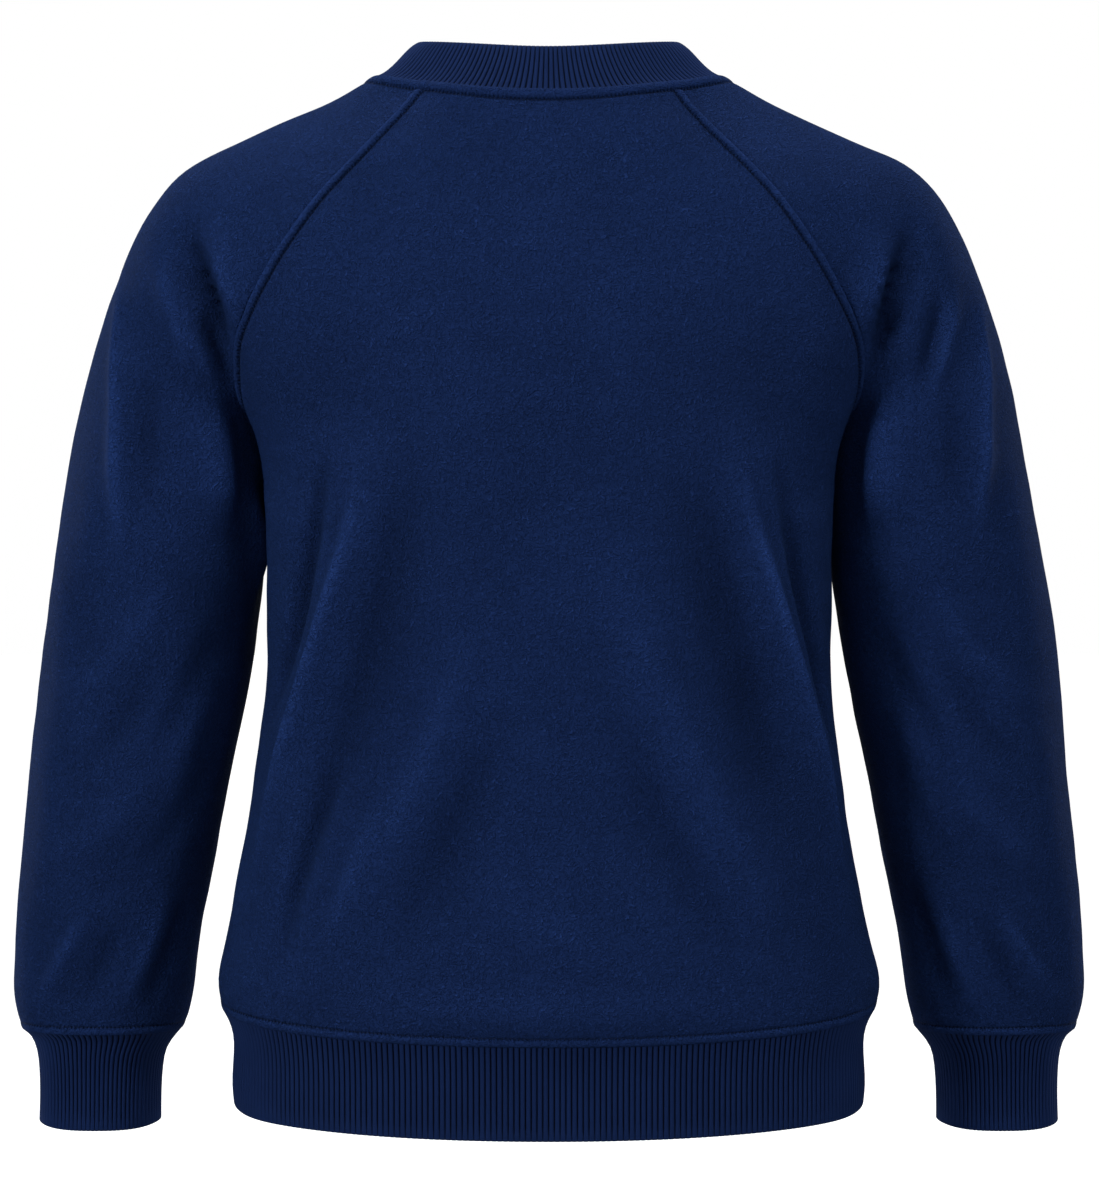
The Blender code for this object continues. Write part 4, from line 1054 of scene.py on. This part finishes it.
def band(name, rings, seam_normals, sunk, fade, materials):
    """A doubled rib band: out from the seam, round its folded edge and back inside.

    rings are steps x points, sunk is how deep each column lies in a groove, and fade
    how much of the rib shows there.
    """
    steps, wide = rings.shape[:2]
    way = unit(rings[1] - rings[0])
    rings = rings.copy()
    rings[0] += 0.5 * SEAM_GAP * way
    along = np.roll(rings, -1, 1) - np.roll(rings, 1, 1)
    normal = unit(np.cross(along, np.gradient(rings, axis=0)))
    normal *= np.sign((normal[0] * seam_normals).sum())
    for _ in range(6):
        normal = unit(normal + 0.5 * (np.roll(normal, 1, 1) + np.roll(normal, -1, 1)))
    begin = smoothstep(np.linspace(0, 1, steps) * 14 + 0.35)[:, None]
    ending = smoothstep((BAND_STEPS - 0.80) / 0.16)[:, None]
    dip = RIB_DEPTH * sunk * fade * begin * (1 - 0.85 * ending)
    end_way = unit(rings[-1] - rings[-2])
    middle = rings[-1] - 0.5 * RIB * normal[-1]
    turn = np.radians([30, 60, 90, 120, 150])[:, None, None]
    fold = middle + (0.5 * RIB - dip[-1])[:, None] * (np.cos(turn) * normal[-1] + np.sin(turn) * end_way)
    outer = rings - dip[..., None] * normal
    inner = (rings - (RIB - dip[..., None]) * normal)[::-1]
    loop = np.concatenate([outer, fold, inner, outer[:1]])
    # how much painted shade lies in each rib groove, by how deep the column lies there
    shown = sunk * fade * begin * (1 - 0.35 * ending)
    deep = np.concatenate([shown, np.repeat(0.4 * shown[-1:], 5, 0), shown[::-1], shown[:1]])
    loop = np.concatenate([loop, loop[:, :1]], 1)
    deep = np.concatenate([deep, deep[:, :1]], 1)
    high = len(loop)
    number = np.arange(high * (wide + 1)).reshape(high, wide + 1)
    number[:, -1] = number[:, 0]
    number[-1] = number[0]
    place = np.arange(high * (wide + 1)).reshape(high, wide + 1)

    def corners(grid):
        return np.stack([grid[:-1, :-1], grid[1:, :-1], grid[1:, 1:], grid[:-1, 1:]], -1).reshape(-1, 4)

    uv = cloth_uv(loop).reshape(-1, 2)
    quads, places = corners(number), corners(place)
    return compressed(name, loop.reshape(-1, 3), quads, uv[places], np.zeros(len(quads)), {"painted_groove_shade": deep}, materials)


def plan_out(ring):
    along = np.roll(ring, -1, 0) - np.roll(ring, 1, 0)
    out = np.stack([-along[:, 1], along[:, 0], 0 * along[:, 0]], 1)
    out = unit(out)
    out *= np.sign((out * (ring - ring.mean(0))).sum(1))[:, None]
    for _ in range(6):
        out = unit(out + 0.5 * (np.roll(out, 1, 0) + np.roll(out, -1, 0)))
    return out


FINE = np.linspace(0, 1, 161)
BAND_STEPS = np.array([0.0, 0.012, 0.03, 0.06, 0.11, 0.18, 0.27, 0.37, 0.48, 0.59, 0.70, 0.80, 0.88, 0.94, 0.975])


def collar(name, materials):
    seam = half_ring([
        seam_line("back", 0.0, FINE), seam_line("arm", 0.0, FINE), seam_line("front", 0.0, FINE)[::-1],
    ])
    length = np.linalg.norm(np.diff(seam[:, :3], axis=0), axis=1).sum()
    places, sunk = rib_places(length, NECK_RIB_PITCH)
    seam = resampled(seam, places)
    c = columns(NECK_EDGE)
    y, z = (spline(c["share"], c[k], 0.0, 0.0)(places) for k in "yz")
    flare = spline(c["share"], c["flare"], 0.0, 0.0)(places)[:, None]
    edge = np.stack([spline(c["share"], c["x"])(places), y, z], 1)
    start = seam[:, :3]
    level, rise = (edge - start) * (1 - UP), (edge - start) * UP
    bowed = 0.16 * (1 - flare) * np.array([1.0, 0.0, 0.0])
    first = start + (0.33 + 0.12 * flare + bowed) * level + (0.29 - 0.10 * flare) * rise
    last = edge - (0.20 + 0.14 * flare - bowed) * level - 0.17 * rise
    rings = whole(np.swapaxes(arc(start, first, last, edge, BAND_STEPS), 0, 1))
    normals = whole(seam[None, :, 3:])[0]
    sunk = np.concatenate([sunk, sunk[-2:0:-1]])
    sideways = (rings[-1, :, 0] / rings[-1, :, 0].max()) ** 2
    return band(name, rings, normals, sunk, 1 - 0.5 * smoothstep((sideways - 0.74) / 0.22), materials)


def hem(name, materials):
    seam = half_ring([seam_line("back", HEM_ROW, FINE), seam_line("front", HEM_ROW, FINE)[::-1]])
    length = np.linalg.norm(np.diff(seam[:, :3], axis=0), axis=1).sum()
    places, sunk = rib_places(length, HEM_RIB_PITCH)
    seam = resampled(seam, places)
    ring, normals = whole(seam[None, :, :3])[0], whole(seam[None, :, 3:])[0]
    sunk = np.concatenate([sunk, sunk[-2:0:-1]])
    out = plan_out(ring)
    side = (out[:, 0] ** 2)[None, :, None]
    steps = BAND_STEPS
    c = columns(HEM_SECTION)
    s = {k: spline(c["step"], c[k])(steps)[:, None, None] for k in c if k != "step"}
    fuller = 0.35 + 0.65 * smoothstep(steps / 0.8)[:, None, None]
    inwards = side * s["side_in"] + (1 - side) * s["back_in"] * fuller
    down = side * s["side_down"] + (1 - side) * s["back_down"] - 2.4 * steps[:, None, None] * side**3
    rings = ring - inwards * out - down * UP
    fade = 1 - 0.5 * smoothstep((side[0, :, 0] - 0.14) / 0.40)
    return band(name, rings, normals, sunk, fade, materials)


def cuff(name, mirror, materials):
    seam = seam_line("arm", CUFF_ROW, np.linspace(0, 1, 481))
    seam[0] = seam[-1] = 0.5 * (seam[0] + seam[-1])
    length = np.linalg.norm(np.diff(seam[:, :3], axis=0), axis=1).sum()
    places, sunk = rib_places(0.84 * length, CUFF_RIB_PITCH)
    seam, sunk = resampled(seam, places)[:-1], sunk[:-1]
    top, steps = seam[:, :3], BAND_STEPS
    c = columns(CUFF_SECTION)
    s = {k: spline(c["row"], c[k])(steps)[:, None] for k in c if k != "row"}
    low, high = top.min(0), top.max(0)
    round_at = (top - (low + high) / 2) / ((high - low) / 2)
    x = (s["x_in"] + s["x_out"]) / 2 + round_at[:, 0] * (s["x_out"] - s["x_in"]) / 2
    fuller = 0.45 * (s["half_depth"][0] - s["half_depth"]) * (1 - steps[:, None])
    y = s["y"] + round_at[:, 1] * (s["half_depth"] + fuller)
    lift = steps[:, None] * (1.6 + 3.2 * round_at[:, 0] ** 4)
    z = s["z"] + (top[:, 2] - top[:, 2].mean()) * (1 - steps[:, None]) + lift
    rings = np.stack([x, y, z], -1)
    blend = smoothstep(steps / 0.10)[:, None, None]
    rings = (1 - blend) * (top + (rings[:, :] - rings[:1]) * 1.0) + blend * rings
    fade = 1 - 0.62 * smoothstep((round_at[:, 0] ** 2 - 0.28) / 0.36)
    normals = seam[:, 3:]
    if mirror:
        rings, normals = rings * FLIP, normals * FLIP
    return band(name, rings, normals, sunk, fade, materials)


# ---------------------------------------------------------------------- stitching
def stitches(name, lines, material):
    """Rows of short sunk stitches along these lines, as one joined mesh."""
    places, ways, ups = [], [], []
    for points, normals in lines:
        run = np.concatenate([[0], np.cumsum(np.linalg.norm(np.diff(points, axis=0), axis=1))])
        count = int(run[-1] / STITCH_PITCH)
        at = (np.arange(count) + 0.5) * run[-1] / count
        p, q = (np.stack([np.interp(at + d, run, points[:, k]) for k in range(3)], 1) for d in (-0.4, 0.4))
        up = unit(np.stack([np.interp(at, run, normals[:, k]) for k in range(3)], 1))
        places.append((p + q) / 2)
        ways.append(unit(q - p))
        ups.append(up)
    place, way, up = (np.concatenate(v) for v in (places, ways, ups))
    over = unit(np.cross(up, way))
    # one stitch: rings along it, thin and sunk where the thread dives at its ends
    rings = ((-0.50, 0.35, -0.45), (-0.32, 0.95, 0.10), (0.32, 0.95, 0.10), (0.50, 0.35, -0.45))
    sides = 5
    turn = np.arange(sides) * 2 * math.pi / sides
    verts = np.stack([
        place + STITCH_LENGTH * along * way
        + THREAD_RADIUS * ((math.cos(a) * wide + lift) * up + math.sin(a) * wide * 1.15 * over)
        for along, wide, lift in rings for a in turn
    ], 1)
    quads = [
        (r * sides + k, r * sides + (k + 1) % sides, (r + 1) * sides + (k + 1) % sides, (r + 1) * sides + k)
        for r in range(len(rings) - 1) for k in range(sides)
    ]
    caps = [tuple(range(sides))[::-1], tuple(range((len(rings) - 1) * sides, len(rings) * sides))]
    each = len(rings) * sides
    faces = [tuple(v + each * n for v in face) for n in range(len(place)) for face in (*quads, *caps)]
    mesh = bpy.data.meshes.new(name)
    mesh.from_pydata((verts.reshape(-1, 3) * MM).tolist(), [], faces)
    mesh.materials.append(material)
    mesh.shade_smooth()
    obj = bpy.data.objects.new(name, mesh)
    bpy.context.scene.collection.objects.link(obj)
    return obj


# ---------------------------------------------------------------------- materials
NAVY = (0.0058, 0.0151, 0.0590)
NAVY_RIB = (0.0051, 0.0131, 0.0518)
NAVY_INSIDE = (0.0060, 0.0145, 0.0500)
NAVY_THREAD = (0.0048, 0.0125, 0.0480)


class Looks:
    """A material's nodes, made by short calls."""

    def __init__(self, name, roughness, sheen, sheen_tint, specular):
        self.material = bpy.data.materials.new(name)
        self.material.use_nodes = True
        self.tree = self.material.node_tree
        self.shader = self.tree.nodes["Principled BSDF"]
        s = self.shader.inputs
        s["Roughness"].default_value = roughness
        s["Metallic"].default_value = 0.0
        s["Specular IOR Level"].default_value = specular
        s["Sheen Weight"].default_value = sheen
        s["Sheen Roughness"].default_value = 0.42
        s["Sheen Tint"].default_value = (*sheen_tint, 1)
        self.place = self.tree.nodes.new("ShaderNodeTexCoord").outputs["Object"]

    def put(self, socket, value):
        if isinstance(value, bpy.types.NodeSocket):
            self.tree.links.new(value, socket)
        else:
            socket.default_value = value

    def math(self, operation, *values, clamp=False):
        node = self.tree.nodes.new("ShaderNodeMath")
        node.operation, node.use_clamp = operation, clamp
        for socket, value in zip(node.inputs, values):
            self.put(socket, value)
        return node.outputs[0]

    def noise(self, scale, detail=2.0, roughness=0.5, distortion=0.0, place=None, squash=None):
        place = place or self.place
        if squash:
            mapping = self.tree.nodes.new("ShaderNodeMapping")
            self.put(mapping.inputs["Vector"], place)
            mapping.inputs["Scale"].default_value = squash
            place = mapping.outputs[0]
        node = self.tree.nodes.new("ShaderNodeTexNoise")
        self.put(node.inputs["Vector"], place)
        for key, value in (("Scale", scale), ("Detail", detail), ("Roughness", roughness), ("Distortion", distortion)):
            node.inputs[key].default_value = value
        return node.outputs["Fac"]

    def ramp(self, value, low, high, to_low=0.0, to_high=1.0):
        node = self.tree.nodes.new("ShaderNodeMapRange")
        node.interpolation_type = "SMOOTHSTEP"
        for key, number in (("Value", value), ("From Min", low), ("From Max", high), ("To Min", to_low), ("To Max", to_high)):
            self.put(node.inputs[key], number)
        return node.outputs["Result"]

    def strokes(self, scale, thin, broken, drift=0.0):
        """Short curved fibres: the level lines of a noise, broken up by another one."""
        shifted = self.tree.nodes.new("ShaderNodeMapping")
        self.put(shifted.inputs["Vector"], self.place)
        shifted.inputs["Location"].default_value = (drift, 0.7 * drift, 0.4 * drift)
        line = self.math("ABSOLUTE", self.math("SUBTRACT", self.noise(scale, 0.0, place=shifted.outputs[0]), 0.5))
        bright = self.ramp(line, 0.0, thin, 1.0, 0.0)
        gaps = self.ramp(self.noise(broken, 0.0, place=shifted.outputs[0]), 0.42, 0.54)
        return self.math("MULTIPLY", bright, gaps)

    def colour(self, base, factor):
        """The base colour times a factor that varies over the surface."""
        node = self.tree.nodes.new("ShaderNodeVectorMath")
        node.operation = "SCALE"
        node.inputs[0].default_value = base
        self.put(node.inputs["Scale"], factor)
        self.put(self.shader.inputs["Base Color"], node.outputs[0])

    def bump(self, height, distance, strength):
        node = self.tree.nodes.new("ShaderNodeBump")
        self.put(node.inputs["Height"], height)
        node.inputs["Distance"].default_value = distance
        node.inputs["Strength"].default_value = strength
        self.put(self.shader.inputs["Normal"], node.outputs[0])

    def attribute(self, name):
        node = self.tree.nodes.new("ShaderNodeAttribute")
        node.attribute_name = name
        return node.outputs["Fac"]


def fleece_material():
    m = Looks("brushed_fleece", 0.95, 0.035, (0.15, 0.38, 1.0), 0.02)
    worms = m.math("MAXIMUM", m.strokes(390.0, 0.105, 420.0), m.strokes(480.0, 0.105, 520.0, 5.3))
    # a copy of the fibres shifted a little down and sideways, as painted shadow beside each fibre
    painted_fibre_shadow = m.math("MAXIMUM", m.strokes(390.0, 0.105, 420.0, 0.0008), m.strokes(480.0, 0.105, 520.0, 5.3008))
    grain = m.noise(1300.0, 1.0, 0.5)
    cloudy = m.noise(30.0, 2.0, 0.5, squash=(1.0, 1.0, 2.2))
    tone = m.math("ADD", m.ramp(cloudy, 0.3, 0.7, 1.10, 1.18), m.ramp(grain, 0.25, 0.75, -0.22, 0.22))
    # lighter fibres of the nap, less their painted shadow
    fibres_with_painted_shadow = m.math("SUBTRACT", m.math("MULTIPLY", worms, 0.66), m.math("MULTIPLY", painted_fibre_shadow, 0.40))
    tone = m.math("ADD", tone, fibres_with_painted_shadow)
    # painted highlight on the seam beads: a lighter tone, with fainter fibres, where the cloth stands up along a seam
    ridge = m.ramp(m.attribute("ridge"), 0.30, 0.85, 0.0, 1.0)
    flat = m.math("ADD", m.ramp(grain, 0.25, 0.75, 1.20, 1.38), m.math("MULTIPLY", worms, 0.15))
    node = m.tree.nodes.new("ShaderNodeMix")
    m.put(node.inputs["Factor"], ridge)
    m.put(node.inputs["A"], tone)
    m.put(node.inputs["B"], flat)
    # painted shade in the seam and stitch grooves and in each stitch's dimple; the dimple is also sunk by the bump
    # below
    sunk = m.ramp(m.attribute("painted_groove_shade"), 0.10, 0.75, 1.0, 0.50)
    turn = m.math("COSINE", m.math("MULTIPLY", m.attribute("stitch"), 2 * math.pi))
    dimple = m.math("MULTIPLY", m.attribute("stitching"), m.ramp(turn, -0.2, 0.9, 0.0, 1.0))
    sunk = m.math("MULTIPLY", sunk, m.ramp(dimple, 0.0, 1.0, 1.0, 0.45))
    # painted light and shade of the folds, and painted highlight and shade along the raglan beads
    painted_fold_and_bead_light = m.math("MULTIPLY", m.attribute("painted_fold_tone"), m.math("ADD", m.attribute("painted_bead_light_and_shade"), 1.0))
    m.colour(NAVY, m.math("MULTIPLY", m.math("MULTIPLY", node.outputs["Result"], sunk), painted_fold_and_bead_light))
    height = m.math("ADD", m.math("MULTIPLY", worms, 1.0), m.math("MULTIPLY", grain, 0.4))
    m.bump(m.math("SUBTRACT", height, m.math("MULTIPLY", dimple, 1.2)), 0.0010, 1.0)
    return m.material


def inside_material():
    m = Looks("fleece_inside", 0.97, 0.03, (0.40, 0.60, 1.0), 0.03)
    curls = m.math("MAXIMUM", m.strokes(420.0, 0.12, 460.0), m.strokes(560.0, 0.12, 520.0, 3.1))
    tufts = m.noise(620.0, 3.0, 0.6)
    tone = m.math("ADD", m.ramp(tufts, 0.3, 0.7, 0.84, 1.10), m.math("MULTIPLY", curls, 0.30))
    m.colour(NAVY_INSIDE, tone)
    m.bump(m.math("ADD", curls, tufts), 0.0007, 0.6)
    return m.material


def rib_material():
    m = Looks("rib_knit", 0.93, 0.03, (0.15, 0.38, 1.0), 0.03)
    uv = m.tree.nodes.new("ShaderNodeUVMap")
    uv.uv_map = "cloth"
    yarn = m.noise(1.0, 2.0, 0.55, 0.3, place=uv.outputs[0], squash=(2600.0, 900.0, 1.0))
    loops = m.tree.nodes.new("ShaderNodeTexWave")
    loops.wave_type, loops.bands_direction = "BANDS", "Y"
    m.put(loops.inputs["Vector"], uv.outputs[0])
    for key, value in (("Scale", 240.0), ("Distortion", 1.6), ("Detail", 1.0), ("Detail Scale", 2.0)):
        loops.inputs[key].default_value = value
    fuzz = m.noise(1700.0, 2.0, 0.6)
    cloudy = m.noise(20.0, 2.0, 0.5)
    tone = m.math("ADD", m.ramp(cloudy, 0.3, 0.7, 0.95, 1.05), m.ramp(yarn, 0.25, 0.75, -0.10, 0.10))
    # painted shade in the grooves between the ribs
    sunk = m.ramp(m.attribute("painted_groove_shade"), 0.10, 0.85, 1.14, 0.15)
    m.colour(NAVY_RIB, m.math("MULTIPLY", tone, sunk))
    height = m.math("ADD", m.math("MULTIPLY", yarn, 0.5), m.math("MULTIPLY", loops.outputs["Fac"], 0.35))
    m.bump(m.math("ADD", height, m.math("MULTIPLY", fuzz, 0.4)), 0.0004, 0.5)
    return m.material


def thread_material():
    m = Looks("sewing_thread", 0.70, 0.02, (0.4, 0.6, 1.0), 0.10)
    ply = m.noise(2400.0, 1.0, 0.5, 0.8)
    m.colour(NAVY_THREAD, m.ramp(ply, 0.3, 0.7, 0.80, 1.20))
    m.bump(ply, 0.0002, 0.5)
    return m.material


# ----------------------------------------------------------------------- assembly
fleece, inside, rib, thread = fleece_material(), inside_material(), rib_material(), thread_material()

back, back_lines = body_panel("back_fleece", "back_panel", "back", (fleece, inside))
front, front_lines = body_panel("front_fleece", "front_panel", "front", (fleece, inside))
left, left_lines = sleeve("left_sleeve_fleece", False, (fleece, inside))
right, right_lines = sleeve("right_sleeve_fleece", True, (fleece, inside))
neckband = collar("neckband_rib", (rib,))
hemband = hem("hemband_rib", (rib,))
left_cuff = cuff("left_cuff_rib", False, (rib,))
right_cuff = cuff("right_cuff_rib", True, (rib,))
topstitching = stitches("topstitching", [*back_lines, *front_lines, *left_lines, *right_lines], thread)

for piece, node, cloth in (
    (back, "back_panel", "fleece"), (front, "front_panel", "fleece"),
    (left, "sleeve_left", "fleece"), (right, "sleeve_right", "fleece"),
    (neckband, "collar_rib", "rib"), (hemband, "hem_rib", "rib"),
    (left_cuff, "cuff_left", "rib"), (right_cuff, "cuff_right", "rib"),
):
    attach(piece, "root")
    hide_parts(node)
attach(topstitching, "root")


# ------------------------------------------------------------- floor, light, camera
def plain(name, colour, glow):
    material = bpy.data.materials.new(name)
    material.use_nodes = True
    s = material.node_tree.nodes["Principled BSDF"].inputs
    s["Base Color"].default_value = (colour, colour, colour, 1)
    s["Roughness"].default_value = 0.9
    s["Specular IOR Level"].default_value = 0.0
    s["Emission Color"].default_value = (1, 1, 1, 1)
    s["Emission Strength"].default_value = glow
    return material


floor_mesh = bpy.data.meshes.new("studio_floor")
far = 40.0
FLOOR_HEIGHT = -1.05
floor_mesh.from_pydata([(-far, -far, FLOOR_HEIGHT), (far, -far, FLOOR_HEIGHT), (far, far, FLOOR_HEIGHT), (-far, far, FLOOR_HEIGHT)], [], [(0, 1, 2, 3)])
pale = plain("pale_floor", 0.35, 0.0)
glow, seen = pale.node_tree.nodes["Principled BSDF"].inputs["Emission Strength"], pale.node_tree.nodes.new("ShaderNodeLightPath")
pale.node_tree.links.new(seen.outputs["Is Camera Ray"], glow)
floor_mesh.materials.append(pale)
floor = bpy.data.objects.new("studio_floor", floor_mesh)
bpy.context.scene.collection.objects.link(floor)


def softbox(name, place, aim, width, height, watts):
    light = bpy.data.lights.new(name, "AREA")
    light.shape, light.size, light.size_y, light.energy = "RECTANGLE", width, height, watts
    obj = bpy.data.objects.new(name, light)
    obj.location = place
    way = np.array(aim) - np.array(place)
    flat = math.hypot(way[0], way[1])
    obj.rotation_euler = (math.atan2(flat, -way[2]), 0.0, math.atan2(way[0], -way[1]) + math.pi)
    bpy.context.scene.collection.objects.link(obj)


LIGHTS = (
    ("name", "place", "aim", "width", "height", "watts"),
    ("top_behind", (0.0, 1.00, 2.05), (0.0, 0.05, -0.35), 1.2, 0.6, 39.5),
    ("top_front", (0.0, -1.00, 2.05), (0.0, -0.05, -0.35), 1.2, 0.6, 43.0),
    ("left_behind", (1.96, 1.60, 0.05), (0.05, 0.0, -0.40), 0.6, 1.0, 36.0),
    ("right_behind", (-1.96, 1.60, 0.05), (-0.05, 0.0, -0.40), 0.6, 1.0, 17.5),
    ("left_front", (1.96, -1.60, -0.15), (0.05, 0.0, -0.40), 0.6, 1.0, 30.0),
    ("right_front", (-1.96, -1.60, -0.15), (-0.05, 0.0, -0.40), 0.6, 1.0, 24.0),
    ("fill_behind", (0.0, 3.0, 0.2), (0.0, 0.0, -0.30), 1.6, 1.6, 9.5),
    ("fill_front", (0.0, -3.0, -0.2), (0.0, 0.0, -0.40), 1.6, 1.6, 11.0),
)
keys, *lamps = LIGHTS
for values in lamps:
    softbox(**dict(zip(keys, values)))

world = bpy.data.worlds.new("studio")
bpy.context.scene.world = world
world.use_nodes = True
nodes, links = world.node_tree.nodes, world.node_tree.links
nodes["Background"].inputs["Color"].default_value = (1, 1, 1, 1)
nodes["Background"].inputs["Strength"].default_value = 0.11
shown = nodes.new("ShaderNodeBackground")
shown.inputs["Color"].default_value = (1, 1, 1, 1)
shown.inputs["Strength"].default_value = 1.0
rays, choose = nodes.new("ShaderNodeLightPath"), nodes.new("ShaderNodeMixShader")
links.new(rays.outputs["Is Camera Ray"], choose.inputs[0])
links.new(nodes["Background"].outputs[0], choose.inputs[1])
links.new(shown.outputs[0], choose.inputs[2])
links.new(choose.outputs[0], nodes["World Output"].inputs["Surface"])

camera_data = bpy.data.cameras.new("camera")
camera_data.lens, camera_data.sensor_width, camera_data.sensor_fit = 96.7, 36.0, "AUTO"
camera_data.clip_end = 200.0
camera = bpy.data.objects.new("camera", camera_data)
camera.location = (-0.0009, CAMERA_AWAY * MM, EYE_HEIGHT * MM)
camera.rotation_euler = (math.pi / 2, 0.0, math.pi)
bpy.context.scene.collection.objects.link(camera)
bpy.context.scene.camera = camera
bpy.context.scene.view_settings.view_transform = "Standard"
